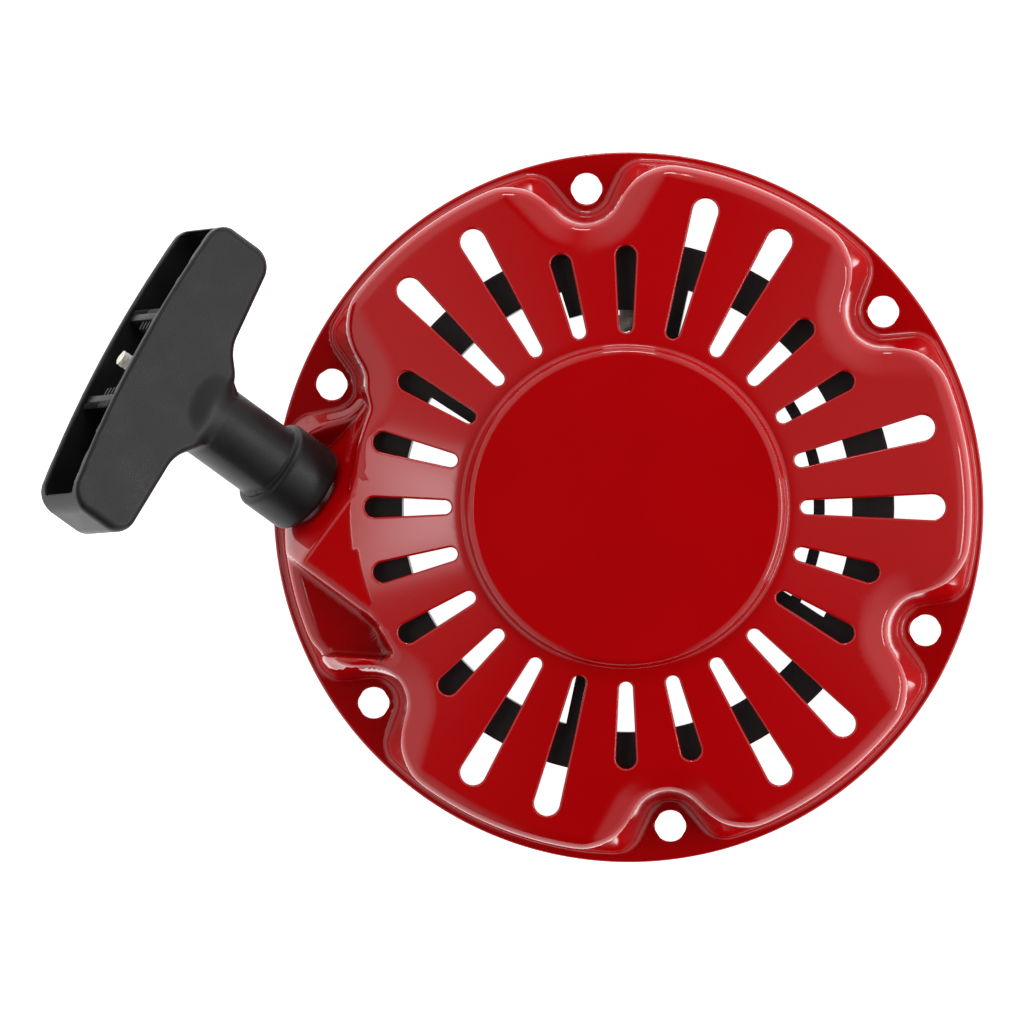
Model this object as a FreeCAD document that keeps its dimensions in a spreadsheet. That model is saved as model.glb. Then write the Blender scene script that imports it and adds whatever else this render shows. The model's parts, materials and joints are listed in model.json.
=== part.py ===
import FreeCAD, Part
import math
import os
from types import SimpleNamespace

import Sketcher

Vector = FreeCAD.Vector
X_AXIS = Vector(1, 0, 0)
Y_AXIS = Vector(0, 1, 0)
Z_AXIS = Vector(0, 0, 1)

# A recoil starter for a small petrol engine.  The frame: z = 0 is the underside of the flange
# that bolts to the engine, +Z points out of the cover's face, and the Z axis is the reel's axis.
# Azimuths turn from +X towards +Y.  Lengths are millimetres and angles are degrees.
SIZES = {
    # pressed steel case
    "sheet": 1.2,
    "case_radius": 97.5,
    "skirt_foot_radius": 95.0,
    "skirt_head_radius": 94.0,
    "shoulder_bend": 4.0,
    "case_height": 37.0,
    "plateau_radius": 40.8,
    "plateau_rise": 2.6,
    "plateau_slope": 32.0,
    "face_slope": 5.0,
    # mounting lugs
    "lug_count": 6,
    "lug_azimuth": 37.5,
    "bolt_circle": 176.4,
    "bolt_hole": 8.5,
    "recess_floor_radius": 7.0,
    "recess_floor_angle": 31.6,
    "recess_draft": 6.2,
    "recess_head_angle": 37.0,
    # cooling slots
    "slot_pitch": 15.0,
    "slot_start": 47.6,
    "slot_long_end": 87.0,
    "slot_short_end": 71.3,
    "slot_start_width": 3.7,
    "slot_flare": 2.75,
    "slot_roundness": 0.9,
    # rope exit
    "exit_azimuth": 143.4,
    "exit_tilt": 26.0,
    "ridge_along": 62.1,
    "snout_side": 66.0,
    "snout_near_side": 24.0,
    "platform_height": 16.5,
    "platform_start": 33.0,
    "waist_radius": 75.0,
    "exit_along": 71.3,
    "exit_across": 48.6,
    "guide_tube_radius": 6.6,
    "guide_tube_length": 5.0,
    "guide_rim_radius": 8.6,
    "guide_rim": 1.4,
    "guide_throat": 3.3,
    "guide_flare": 5.6,
    # centre post and setting screw
    "post_radius": 9.5,
    "post_flange_radius": 16.0,
    "post_flange": 1.5,
    "post_shoulder": 10.0,
    "neck_radius": 6.0,
    "neck_end": 4.0,
    "post_slit": 1.6,
    "screw_radius": 3.0,
    "screw_length": 14.0,
    "screw_rim_radius": 9.5,
    "screw_rim": 1.1,
    "screw_hex": 10.0,
    "screw_head": 1.9,
    # reel
    "reel_bottom": 6.4,
    "reel_top": 19.6,
    "reel_rim_inner": 61.5,
    "reel_root": 63.5,
    "reel_cheek": 1.6,
    "reel_lip": 0.5,
    "cup_inner": 43.5,
    "cup_wall": 2.8,
    "cup_bottom": 8.0,
    "web_bottom": 18.5,
    "web_top": 21.0,
    "boss_radius": 25.0,
    "boss_bottom": 9.4,
    "spoke_bottom": 9.0,
    "spoke_width": 8.0,
    "spoke_1_azimuth": 327.0,
    "spoke_2_azimuth": 37.0,
    "spoke_3_azimuth": 78.0,
    "spoke_4_azimuth": 147.0,
    "spoke_5_azimuth": 202.5,
    "spoke_6_azimuth": 258.0,
    "bridge_radius": 51.0,
    "bridge_wall": 3.0,
    "knot_block_inner": 54.0,
    "knot_block_azimuth": 76.0,
    "knot_block_span": 31.0,
    "knot_azimuth": 90.0,
    # mainspring
    "strip_thickness": 0.7,
    "strip_width": 11.0,
    "strip_turns": 13,
    "strip_inner_radius": 11.2,
    "strip_tail": 2.4,
    "strip_slit": 1.6,
    # ratchets, their guide and springs
    "pivot_circle": 17.0,
    "pivot_radius": 3.0,
    "ratchet_reach": 20.0,
    "ratchet_eye": 5.2,
    "ratchet_back": 4.3,
    "ratchet_belly": 3.2,
    "ratchet_tip": 3.2,
    "ratchet_bend": 3.0,
    "ratchet_edge": 0.6,
    "ratchet_thickness": 4.2,
    "ratchet_rest": -100.0,
    "ratchet_swing": 30.0,
    "pocket_depth": 5.2,
    "pocket_gap": 1.8,
    "pocket_lead": 35.0,
    "pocket_span": 120.0,
    "well_radius": 5.4,
    "well_depth": 2.6,
    "peg_reach": 8.0,
    "peg_radius": 1.5,
    "ratchet_wire": 0.8,
    "coil_overlap": 0.8,
    "spring_leg": 2.0,
    "guide_disc_radius": 25.0,
    "guide_disc_bottom": 5.8,
    "guide_disc": 2.4,
    "guide_turn": 40.0,
    "friction_wire": 1.0,
    "friction_span": 300.0,
    "friction_leg": 5.0,
    # rope
    "rope": 4.5,
    "rope_columns": 2,
    "rope_layers": 2,
    "rope_column_pitch": 5.2,
    "rope_layer_pitch": 4.6,
    "rope_bend": 8.0,
    "reel_knot_radius": 3.6,
    "handle_knot_radius": 6.0,
    # pull handle
    "handle_roll": 20.7,
    "bar_length": 91.0,
    "bar_thickness": 20.5,
    "bar_end_depth": 20.8,
    "bar_crown": 2.6,
    "bar_crown_bend": 136.0,
    "bar_lean": 3.3,
    "handle_height": 69.3,
    "collar_radius": 12.9,
    "collar_length": 14.5,
    "collar_edge": 2.4,
    "stem_radius": 11.0,
    "stem_fillet": 10.0,
    "bar_inner_corner": 6.0,
    "bar_outer_corner": 3.0,
    "handle_wall": 2.5,
    "handle_pocket_floor": 50.0,
    "rib_spacing": 30.0,
    "rib": 2.2,
    "rib_inset": 1.5,
    # clearances
    "running_clearance": 0.06,
    "rope_clearance": 0.5,
    "rope_margin": 0.3,
    "moving_clearance": 0.4,
    "cut_margin": 2.0,
}

document = FreeCAD.newDocument("recoil_starter")
table = document.addObject("Spreadsheet::Sheet", "sizes")


class Size:
    """A number and the sheet expression that gives it, so arithmetic keeps both in step."""

    def __init__(self, number, text):
        self.number = float(number)
        self.text = text

    def __add__(self, other):
        other = as_size(other)
        return Size(self.number + other.number, f"({self.text} + {other.text})")

    def __radd__(self, other):
        return as_size(other) + self

    def __sub__(self, other):
        other = as_size(other)
        return Size(self.number - other.number, f"({self.text} - {other.text})")

    def __rsub__(self, other):
        return as_size(other) - self

    def __mul__(self, other):
        other = as_size(other)
        return Size(self.number * other.number, f"({self.text} * {other.text})")

    def __rmul__(self, other):
        return as_size(other) * self

    def __truediv__(self, other):
        other = as_size(other)
        return Size(self.number / other.number, f"({self.text} / {other.text})")

    def __neg__(self):
        return 0 - self


def as_size(value):
    return value if isinstance(value, Size) else Size(value, repr(float(value)))


def sine(angle):
    angle = as_size(angle)
    return Size(math.sin(math.radians(angle.number)), f"sin({angle.text} * 1 deg)")


def cosine(angle):
    angle = as_size(angle)
    return Size(math.cos(math.radians(angle.number)), f"cos({angle.text} * 1 deg)")


def tangent(angle):
    angle = as_size(angle)
    return Size(math.tan(math.radians(angle.number)), f"tan({angle.text} * 1 deg)")


def fill_table():
    """Write each driving size into its own cell and hand the sizes back by name."""
    named = SimpleNamespace()
    for row, (alias, value) in enumerate(SIZES.items(), start=1):
        table.set(f"A{row}", alias)
        table.set(f"B{row}", str(value))
        table.setAlias(f"B{row}", alias)
        setattr(named, alias, Size(value, f"sizes.{alias}"))
    document.recompute()
    return named


s = fill_table()


# ---------------------------------------------------------------- drawing helpers

def bind(item, **properties):
    for name, value in properties.items():
        item.setExpression(name, as_size(value).text)
    return item


def place(item, base=(0, 0, 0), turns=()):
    """Move an item to base after turning it; turns are (axis, angle), the last one done first."""
    spot = "; ".join(as_size(value).text for value in base)
    turned = [f"rotation(vector({axis.x}; {axis.y}; {axis.z}); {as_size(angle).text})"
              for axis, angle in turns]
    turning = " * ".join(turned) or "rotation(vector(0; 0; 1); 0)"
    item.setExpression("Placement", f"placement(vector({spot}); {turning})")
    return item


def cylinder(name, radius, height, bottom=0, sweep=None):
    item = document.addObject("Part::Cylinder", name)
    bind(item, Radius=radius, Height=height)
    if sweep is not None:
        bind(item, Angle=sweep)
    return place(item, (0, 0, bottom))


def box(name, length, width, height):
    return bind(document.addObject("Part::Box", name), Length=length, Width=width, Height=height)


def cut(name, base, tool):
    item = document.addObject("Part::Cut", name)
    item.Base = base
    item.Tool = tool
    return item


def fuse(name, items):
    item = document.addObject("Part::MultiFuse", name)
    item.Shapes = items
    return item


def common(name, items):
    item = document.addObject("Part::MultiCommon", name)
    item.Shapes = items
    return item


def origin_feature(body, role):
    return next(item for item in body.Origin.OriginFeatures if item.Role == role)


def sketch_on(body, name, plane, height=0):
    """A sketch on one of the body's own planes, lifted along that plane's normal."""
    sketch = body.newObject("Sketcher::SketchObject", name)
    sketch.AttachmentSupport = [(origin_feature(body, plane), "")]
    sketch.MapMode = "FlatFace"
    bind(sketch, **{"AttachmentOffset.Base.z": height})
    return sketch


def constrain(sketch, size, kind, *places):
    index = sketch.addConstraint(Sketcher.Constraint(kind, *places, as_size(size).number))
    sketch.setExpression(f"Constraints[{index}]", as_size(size).text)


def pin_down(sketch, geometry, vertex, across, up):
    constrain(sketch, across, "DistanceX", -1, 1, geometry, vertex)
    constrain(sketch, up, "DistanceY", -1, 1, geometry, vertex)


def round_corner(sketch, tip, radius, before, after, leave, join):
    """An arc between two edges that both point at the tip."""
    middle = (leave + join) * 0.5
    centre = tip + (middle - tip) * ((leave - tip).Length / (middle - tip).Length) ** 2
    angles = [math.atan2(spot.y - centre.y, spot.x - centre.x) for spot in (leave, join)]
    forwards = (join - centre).cross(tip - centre).z < 0
    first, last = angles if forwards else angles[::-1]
    circle = Part.Circle(centre, Z_AXIS, radius.number)
    arc = sketch.addGeometry(Part.ArcOfCircle(circle, first, last))
    start, end = (1, 2) if forwards else (2, 1)
    sketch.addConstraint(Sketcher.Constraint("Tangent", before, 2, arc, start))
    sketch.addConstraint(Sketcher.Constraint("Tangent", arc, end, after, 1))
    constrain(sketch, radius, "Radius", arc)


def outline(sketch, corners):
    """A closed loop of straight edges; a corner's third entry is its rounding radius."""
    count = len(corners)
    tips = [Vector(as_size(corner[0]).number, as_size(corner[1]).number, 0) for corner in corners]
    leaves, joins = [], []
    for index, tip in enumerate(tips):
        back = (tips[index - 1] - tip).normalize()
        ahead = (tips[(index + 1) % count] - tip).normalize()
        radius = as_size(corners[index][2]).number if len(corners[index]) > 2 else 0
        trim = radius / math.tan(back.getAngle(ahead) / 2)
        leaves.append(tip + back * trim)
        joins.append(tip + ahead * trim)
    edges = [sketch.addGeometry(Part.LineSegment(joins[index], leaves[(index + 1) % count]))
             for index in range(count)]
    for index, corner in enumerate(corners):
        before, after = edges[index - 1], edges[index]
        if len(corner) == 2:
            sketch.addConstraint(Sketcher.Constraint("Coincident", before, 2, after, 1))
            pin_down(sketch, after, 1, *corner)
            continue
        point = sketch.addGeometry(Part.Point(tips[index]), True)
        pin_down(sketch, point, 1, corner[0], corner[1])
        sketch.addConstraint(Sketcher.Constraint("PointOnObject", point, 1, before))
        sketch.addConstraint(Sketcher.Constraint("PointOnObject", point, 1, after))
        round_corner(sketch, tips[index], as_size(corner[2]), before, after,
                     leaves[index], joins[index])


def new_body(name):
    return document.addObject("PartDesign::Body", name)


def revolve(body, corners):
    """Turn an outline of (radius, height) corners about the body's Z axis."""
    sketch = sketch_on(body, body.Name + "_section", "XZ_Plane")
    outline(sketch, corners)
    turned = body.newObject("PartDesign::Revolution", body.Name + "_turned")
    turned.Profile = sketch
    turned.ReferenceAxis = (sketch, ["V_Axis"])
    turned.Angle = 360
    return turned


def pad(body, corners, height, bottom=0, plane="XY_Plane", midplane=False):
    sketch = sketch_on(body, f"{body.Name}_outline", plane, bottom)
    outline(sketch, corners)
    raised = body.newObject("PartDesign::Pad", body.Name + "_raised")
    raised.Profile = sketch
    raised.Midplane = midplane
    bind(raised, Length=height)
    return raised


def polar_pattern(body, feature, name, count, angle=360):
    pattern = body.newObject("PartDesign::PolarPattern", name)
    pattern.Originals = [feature]
    pattern.Axis = (origin_feature(body, "Z_Axis"), [""])
    bind(pattern, Occurrences=count, Angle=angle)
    body.Tip = pattern
    return pattern


# ---------------------------------------------------------------- places worked out from the sizes

plateau_foot_radius = s.plateau_radius + s.plateau_rise / tangent(s.plateau_slope)


def face_height(radius):
    """Outer height of the sloping face at a radius."""
    fall = (radius - plateau_foot_radius) * tangent(s.face_slope)
    return s.case_height - s.plateau_rise - fall


roof = s.case_height - s.sheet
facet_steepness = cosine(s.exit_tilt) / sine(s.exit_tilt)
exit_height = face_height(s.waist_radius) - (s.exit_along - s.ridge_along) * facet_steepness
bore_radius = s.post_radius + s.running_clearance
cup_outer = s.cup_inner + s.cup_wall
cup_top = face_height(cup_outer) - s.sheet - 2 * s.moving_clearance
reel_radius = s.reel_root + s.rope_layers * s.rope_layer_pitch + s.rope_margin
groove_middle = (s.reel_bottom + s.reel_top) / 2
pocket_roof = s.boss_bottom + s.pocket_depth
ratchet_bottom = s.boss_bottom + s.moving_clearance
spring_radius = s.pivot_radius + 2 * s.moving_clearance + s.ratchet_wire / 2
spring_bottom = pocket_roof + s.ratchet_wire / 2
outer_turn_radius = s.reel_root + s.rope / 2 + s.rope_layer_pitch * (s.rope_layers - 1)


def from_exit_axes(along, across, height):
    """Turn distances along and across the exit azimuth into x, y, z."""
    return (along * cosine(s.exit_azimuth) - across * sine(s.exit_azimuth),
            along * sine(s.exit_azimuth) + across * cosine(s.exit_azimuth),
            height)


def place_at_exit(item, lift, roll=0):
    """Stand an item on the rope exit, its own Z along the rope, lifted outwards by lift."""
    base = from_exit_axes(s.exit_along + lift * cosine(s.exit_tilt), s.exit_across,
                          exit_height + lift * sine(s.exit_tilt))
    return place(item, base, [(Z_AXIS, s.exit_azimuth), (Y_AXIS, 90 - s.exit_tilt), (Z_AXIS, roll)])


# ---------------------------------------------------------------- the pressed case

def lug_recess(body, gap, floor):
    """One recess over a mounting lug, lofted from its floor to above the face."""
    hole_radius = s.bolt_circle / 2
    mouth = s.case_radius + s.cut_margin
    head = face_height(hole_radius - s.recess_floor_radius) + s.cut_margin
    foot_radius = s.recess_floor_radius + gap
    levels = [("floor", floor, foot_radius, s.recess_floor_angle),
              ("head", head, foot_radius + head * tangent(s.recess_draft), s.recess_head_angle)]
    sketches = []
    for level, height, radius, angle in levels:
        sketch = sketch_on(body, f"{body.Name}_recess_{level}", "XY_Plane", height)
        apex = hole_radius - radius / sine(angle)
        half_mouth = (mouth - apex) * tangent(angle)
        outline(sketch, [(apex, 0, radius), (mouth, -half_mouth), (mouth, half_mouth)])
        sketches.append(sketch)
    recess = body.newObject("PartDesign::SubtractiveLoft", body.Name + "_recess")
    recess.Profile = sketches[0]
    recess.Sections = [sketches[1]]
    recess.Ruled = True
    return recess


def case_form(name, gap, floor):
    """The drum with its six recesses, or the hollow that lies a gap inside it."""
    body = new_body(name)
    lean = gap * tangent(s.plateau_slope / 2)
    shoulder = (s.skirt_head_radius - gap, face_height(s.skirt_head_radius) - gap,
                s.shoulder_bend - gap)
    plateau = [(plateau_foot_radius - lean, s.case_height - s.plateau_rise - gap),
               (s.plateau_radius - lean, s.case_height - gap), (0, s.case_height - gap)]
    if floor.number > 0:
        rim = [(0, 0), (s.case_radius, 0), (s.case_radius, floor), (s.skirt_foot_radius, floor)]
    else:
        rim = [(0, floor), (s.skirt_foot_radius - gap, floor)]
    revolve(body, rim + [shoulder] + plateau)
    recess = lug_recess(body, gap, floor)
    polar_pattern(body, recess, name + "_recesses", s.lug_count)
    return place(body, turns=[(Z_AXIS, s.lug_azimuth)])


def exit_cutters(name, gap, floor):
    """Tool for the rope exit: all above its facet and above the step beside it, down to the floor."""
    reach = s.case_radius
    width = s.snout_side - s.snout_near_side + 2 * gap + s.cut_margin
    facet = box(name + "_facet", reach, width, reach)
    drop = gap / sine(s.exit_tilt)
    place(facet, from_exit_axes(s.ridge_along, s.snout_near_side - gap,
                                face_height(s.waist_radius) - drop),
          [(Z_AXIS, s.exit_azimuth), (Y_AXIS, 90 - s.exit_tilt)])
    step = box(name + "_step", reach, reach, s.case_height)
    place(step, from_exit_axes(s.platform_start - gap, s.snout_side - gap, s.platform_height - gap),
          [(Z_AXIS, s.exit_azimuth)])
    waist = cylinder(name + "_waist", s.waist_radius - gap, s.case_height + 2 * reach, -reach)
    below = cylinder(name + "_below", 2 * reach, reach, floor - reach)
    return cut(name, fuse(name + "_above", [facet, step]), fuse(name + "_keep", [waist, below]))


def slot(body, name, azimuth, end):
    """A flared cooling slot through the roof, pocketed from below."""
    sketch = sketch_on(body, name + "_outline", "XY_Plane", s.reel_top)
    bind(sketch, **{"AttachmentOffset.Rotation.Angle": azimuth})
    narrow = s.slot_start_width / 2
    wide = narrow + (end - s.slot_start) * tangent(s.slot_flare)
    near, far = narrow * s.slot_roundness, wide * s.slot_roundness
    outline(sketch, [(s.slot_start, -narrow, near), (end, -wide, far), (end, wide, far),
                     (s.slot_start, narrow, near)])
    opening = body.newObject("PartDesign::Pocket", name)
    opening.Profile = sketch
    opening.Reversed = True
    bind(opening, Length=s.case_height)
    return opening


def slots(body, name, azimuth, end, count, step):
    """The same slot repeated every step degrees."""
    opening = slot(body, name, azimuth, end)
    document.recompute()
    return polar_pattern(body, opening, name + "_pattern", count, (count - 1) * step)


def starter_case():
    forms = []
    for name, gap, floor in (("case_outside", as_size(0), s.sheet),
                             ("case_hollow", s.sheet, -s.cut_margin)):
        form = case_form(name, gap, floor)
        forms.append(cut(name + "_cut", form, exit_cutters(name + "_exit", gap, floor)))
    shell = cut("case_shell", *forms)
    document.recompute()

    body = new_body("case_pressing")
    body.BaseFeature = shell
    document.recompute()
    pitch = s.slot_pitch
    slots(body, "long_slot_first", 16 * pitch, s.slot_long_end, 5, 4 * pitch)
    slots(body, "long_slot_second", 17 * pitch, s.slot_long_end, 5, 4 * pitch)
    slots(body, "short_slot_first", 2 * pitch, s.slot_short_end, 6, 4 * pitch)
    slots(body, "short_slot_second", 3 * pitch, s.slot_short_end, 6, 4 * pitch)
    slots(body, "short_slot_exit", 12 * pitch, s.slot_short_end, 2, pitch)

    sketch = sketch_on(body, "bolt_hole_outline", "XY_Plane", -s.cut_margin)
    bind(sketch, **{"AttachmentOffset.Rotation.Angle": s.lug_azimuth})
    circle = sketch.addGeometry(Part.Circle(Vector(SIZES["bolt_circle"] / 2, 0, 0), Z_AXIS,
                                            SIZES["bolt_hole"] / 2))
    pin_down(sketch, circle, 3, s.bolt_circle / 2, 0)
    constrain(sketch, s.bolt_hole / 2, "Radius", circle)
    hole = body.newObject("PartDesign::Pocket", "bolt_holes")
    hole.Profile = sketch
    hole.Reversed = True
    bind(hole, Length=s.sheet + 2 * s.cut_margin)
    document.recompute()
    polar_pattern(body, hole, "bolt_hole_pattern", s.lug_count)

    rope_hole = cylinder("rope_hole", s.guide_tube_radius, 4 * s.sheet)
    place_at_exit(rope_hole, -3 * s.sheet)
    return cut("starter_case", body, rope_hole)


def rope_guide():
    """A flanged eyelet, flared inside the case, that the rope runs through."""
    body = new_body("rope_guide")
    tube = s.guide_tube_radius
    revolve(body, [(s.guide_flare, -s.guide_tube_length), (tube, -s.guide_tube_length), (tube, 0),
                   (s.guide_rim_radius, 0), (s.guide_rim_radius, s.guide_rim, s.guide_rim / 2),
                   (s.guide_throat, s.guide_rim, s.guide_rim / 2), (s.guide_throat, -s.guide_rim / 2)])
    return place_at_exit(body, 0)


def centre_post():
    """Flanged post welded inside the face: the reel turns on it and the mainspring hooks on it."""
    body = new_body("post_turned")
    revolve(body, [(0, s.neck_end), (s.neck_radius, s.neck_end), (s.neck_radius, s.post_shoulder),
                   (s.post_radius, s.post_shoulder), (s.post_radius, roof - s.post_flange),
                   (s.post_flange_radius, roof - s.post_flange), (s.post_flange_radius, roof), (0, roof)])
    slit = box("post_slit", s.post_radius, s.post_slit, s.strip_width + 2 * s.moving_clearance)
    place(slit, (s.post_radius / 2, -s.post_slit / 2, s.web_top + s.moving_clearance / 2))
    thread = cylinder("post_thread", s.screw_radius, s.screw_length + s.cut_margin,
                      s.neck_end - s.cut_margin)
    return cut("centre_post", cut("post_slotted", body, slit), thread)


def setting_screw():
    """Flanged hexagon screw in the end of the post; it retains the ratchet guide."""
    rim_bottom = s.neck_end - s.screw_rim
    shank = cylinder("screw_shank", s.screw_radius, s.screw_length, s.neck_end)
    rim = cylinder("screw_rim", s.screw_rim_radius, s.screw_rim, rim_bottom)
    head = document.addObject("Part::Prism", "screw_hexagon")
    head.Polygon = 6
    bind(head, Circumradius=s.screw_hex / 2 / cosine(30), Height=s.screw_head)
    place(head, (0, 0, rim_bottom - s.screw_head))
    return fuse("setting_screw", [shank, rim, head])


def friction_spring():
    """Wire ring that grips the post's neck under the guide, with one leg in the guide."""
    ring_radius = s.neck_radius + s.friction_wire / 2 + s.running_clearance
    height = (s.neck_end + s.guide_disc_bottom) / 2
    ring = document.addObject("Part::Torus", "friction_ring")
    bind(ring, Radius1=ring_radius, Radius2=s.friction_wire / 2, Angle3=s.friction_span)
    place(ring, (0, 0, height))
    legs = []
    for index, azimuth in enumerate((as_size(0), s.friction_span)):
        leg = cylinder(f"friction_leg_{index + 1}", s.friction_wire / 2, s.friction_leg)
        base = (ring_radius * cosine(azimuth), ring_radius * sine(azimuth), height)
        legs.append(place(leg, base, [(Z_AXIS, azimuth), (Y_AXIS, 90)]))
    return fuse("friction_spring", [ring] + legs)


def feature(name, shape):
    item = document.addObject("Part::Feature", name)
    item.Shape = shape
    return item


def mainspring():
    """Flat strip wound from the post out to the reel's cup, as half circles about two centres."""
    strip = s.strip_thickness.number
    inner = s.strip_inner_radius.number
    halves = 2 * int(s.strip_turns.number)
    outer = s.cup_inner.number - s.moving_clearance.number - strip / 2
    step = (outer - inner) / halves
    sides = []
    for side in (-1, 1):
        arcs = []
        for index in range(halves):
            radius = inner + step * index + side * strip / 2
            heading = 1 if index % 2 == 0 else -1
            centre = Vector(step * (index % 2), 0, 0)
            arcs.append(Part.Arc(centre + X_AXIS * radius * heading, centre + Y_AXIS * radius * heading,
                                 centre - X_AXIS * radius * heading).toShape())
        sides.append(arcs)
    caps = [Part.makeLine(sides[0][at].Vertexes[end].Point, sides[1][at].Vertexes[end].Point)
            for at, end in ((0, 0), (-1, -1))]
    wire = Part.Wire(Part.__sortEdges__(sides[0] + sides[1] + caps))
    width = s.strip_width.number
    coil = Part.Face(wire).extrude(Z_AXIS * width)
    slit_end = (s.post_radius - s.strip_tail).number
    inner_tail = Part.makeBox(inner - slit_end, strip, width, Vector(slit_end, 0, 0))
    outer_tail = Part.makeBox((s.cup_wall + s.moving_clearance).number, strip, width,
                              Vector(outer, -strip, 0))
    item = feature("mainspring", coil.fuse([inner_tail, outer_tail]).removeSplitter())
    return place(item, (0, 0, s.web_top + s.moving_clearance))


# ---------------------------------------------------------------- the reel and what rides on it

def sector(name, outer, inner, bottom, top, start, span):
    """A piece of a ring between two azimuths."""
    whole = cylinder(name + "_outer", outer, top - bottom, bottom, span)
    hollow = cylinder(name + "_inner", inner, top - bottom + 2 * s.cut_margin, bottom - s.cut_margin)
    place(whole, (0, 0, bottom), [(Z_AXIS, start)])
    return cut(name, whole, hollow)


def on_pivot(item, side, height, turn=0):
    """Put an item on a ratchet's pivot; the second pivot is opposite the first."""
    azimuth = 180 * side
    reach = s.pivot_circle * (1 - 2 * side)
    return place(item, (reach, 0, height), [(Z_AXIS, azimuth + turn)])


def reel():
    """Moulded reel: rope groove, spokes, spring cup, web and the boss that carries the ratchets."""
    rim = new_body("reel_rim")
    groove_low = s.reel_bottom + s.reel_cheek
    groove_high = s.reel_top - s.reel_cheek
    lip = s.reel_lip
    revolve(rim, [(s.reel_rim_inner, s.reel_bottom), (reel_radius, s.reel_bottom, lip),
                  (reel_radius, groove_low, lip), (s.reel_root, groove_low), (s.reel_root, groove_high),
                  (reel_radius, groove_high, lip), (reel_radius, s.reel_top, lip),
                  (s.reel_rim_inner, s.reel_top)])
    hub = new_body("reel_hub")
    revolve(hub, [(bore_radius, s.boss_bottom), (s.boss_radius, s.boss_bottom),
                  (s.boss_radius, s.web_bottom), (s.cup_inner, s.web_bottom), (s.cup_inner, s.cup_bottom),
                  (cup_outer, s.cup_bottom), (cup_outer, cup_top), (s.cup_inner, cup_top),
                  (s.cup_inner, s.web_top), (bore_radius, s.web_top)])
    pieces = [rim, hub]
    overlap = s.cup_wall / 3
    azimuths = [s.spoke_1_azimuth, s.spoke_2_azimuth, s.spoke_3_azimuth, s.spoke_4_azimuth,
                s.spoke_5_azimuth, s.spoke_6_azimuth]
    start = cup_outer - overlap
    for index, azimuth in enumerate(azimuths):
        spoke = box(f"reel_spoke_{index + 1}", s.reel_rim_inner + overlap - start, s.spoke_width,
                    s.reel_top - s.spoke_bottom)
        half = s.spoke_width / 2
        place(spoke, (start * cosine(azimuth) + half * sine(azimuth),
                      start * sine(azimuth) - half * cosine(azimuth), s.spoke_bottom),
              [(Z_AXIS, azimuth)])
        pieces.append(spoke)
    bridge_span = s.spoke_2_azimuth - s.spoke_1_azimuth + 360
    pieces.append(sector("reel_bridge", s.bridge_radius + s.bridge_wall, s.bridge_radius,
                         s.spoke_bottom, s.reel_top, s.spoke_1_azimuth, bridge_span))
    pieces.append(sector("reel_knot_block", s.reel_rim_inner + overlap, s.knot_block_inner,
                         s.spoke_bottom, s.reel_top, s.knot_block_azimuth, s.knot_block_span))
    solid = fuse("reel_solid", pieces)

    tools = []
    pivots = []
    ring = s.ratchet_reach + s.pocket_gap
    for side in (0, 1):
        height = s.boss_bottom - s.cut_margin
        sweep = cylinder(f"pocket_sweep_{side + 1}", ring, s.pocket_depth + s.cut_margin, 0, s.pocket_span)
        on_pivot(sweep, side, height, s.ratchet_rest - s.pocket_lead)
        eye = cylinder(f"pocket_eye_{side + 1}", s.ratchet_eye + 2 * s.moving_clearance,
                       s.pocket_depth + s.cut_margin)
        on_pivot(eye, side, height)
        well = cylinder(f"spring_well_{side + 1}", s.well_radius, s.well_depth + s.cut_margin)
        on_pivot(well, side, pocket_roof - s.cut_margin)
        anchor = cylinder(f"spring_anchor_{side + 1}", s.ratchet_wire / 2 + s.running_clearance,
                          s.spring_leg + 4 * s.ratchet_wire)
        anchor_heading = s.ratchet_rest + 90 + 180 * side
        place(anchor, (s.pivot_circle * (1 - 2 * side) + spring_radius * cosine(anchor_heading),
                       spring_radius * sine(anchor_heading), spring_bottom))
        tools += [sweep, eye, well, anchor]
        pivot = cylinder(f"pivot_{side + 1}", s.pivot_radius, s.pocket_depth + s.well_depth
                         + s.cut_margin - s.moving_clearance)
        pivots.append(on_pivot(pivot, side, s.boss_bottom + s.moving_clearance))
    hook_slot = box("spring_hook_slot", s.cup_wall + 2 * s.cut_margin, s.strip_slit,
                    s.strip_width + 2 * s.cut_margin)
    place(hook_slot, (s.cup_inner - s.cut_margin, -(s.strip_slit + s.strip_thickness) / 2, s.web_top))
    rope_hole = cylinder("reel_rope_hole", s.rope / 2 + s.rope_clearance, reel_radius - s.bridge_radius)
    place(rope_hole, (s.bridge_radius * cosine(s.knot_azimuth), s.bridge_radius * sine(s.knot_azimuth),
                      groove_middle), [(Z_AXIS, s.knot_azimuth), (Y_AXIS, 90)])
    pocketed = cut("reel_pocketed", solid, fuse("reel_tools", tools + [hook_slot, rope_hole]))
    return fuse("reel", [pocketed] + pivots)


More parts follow.
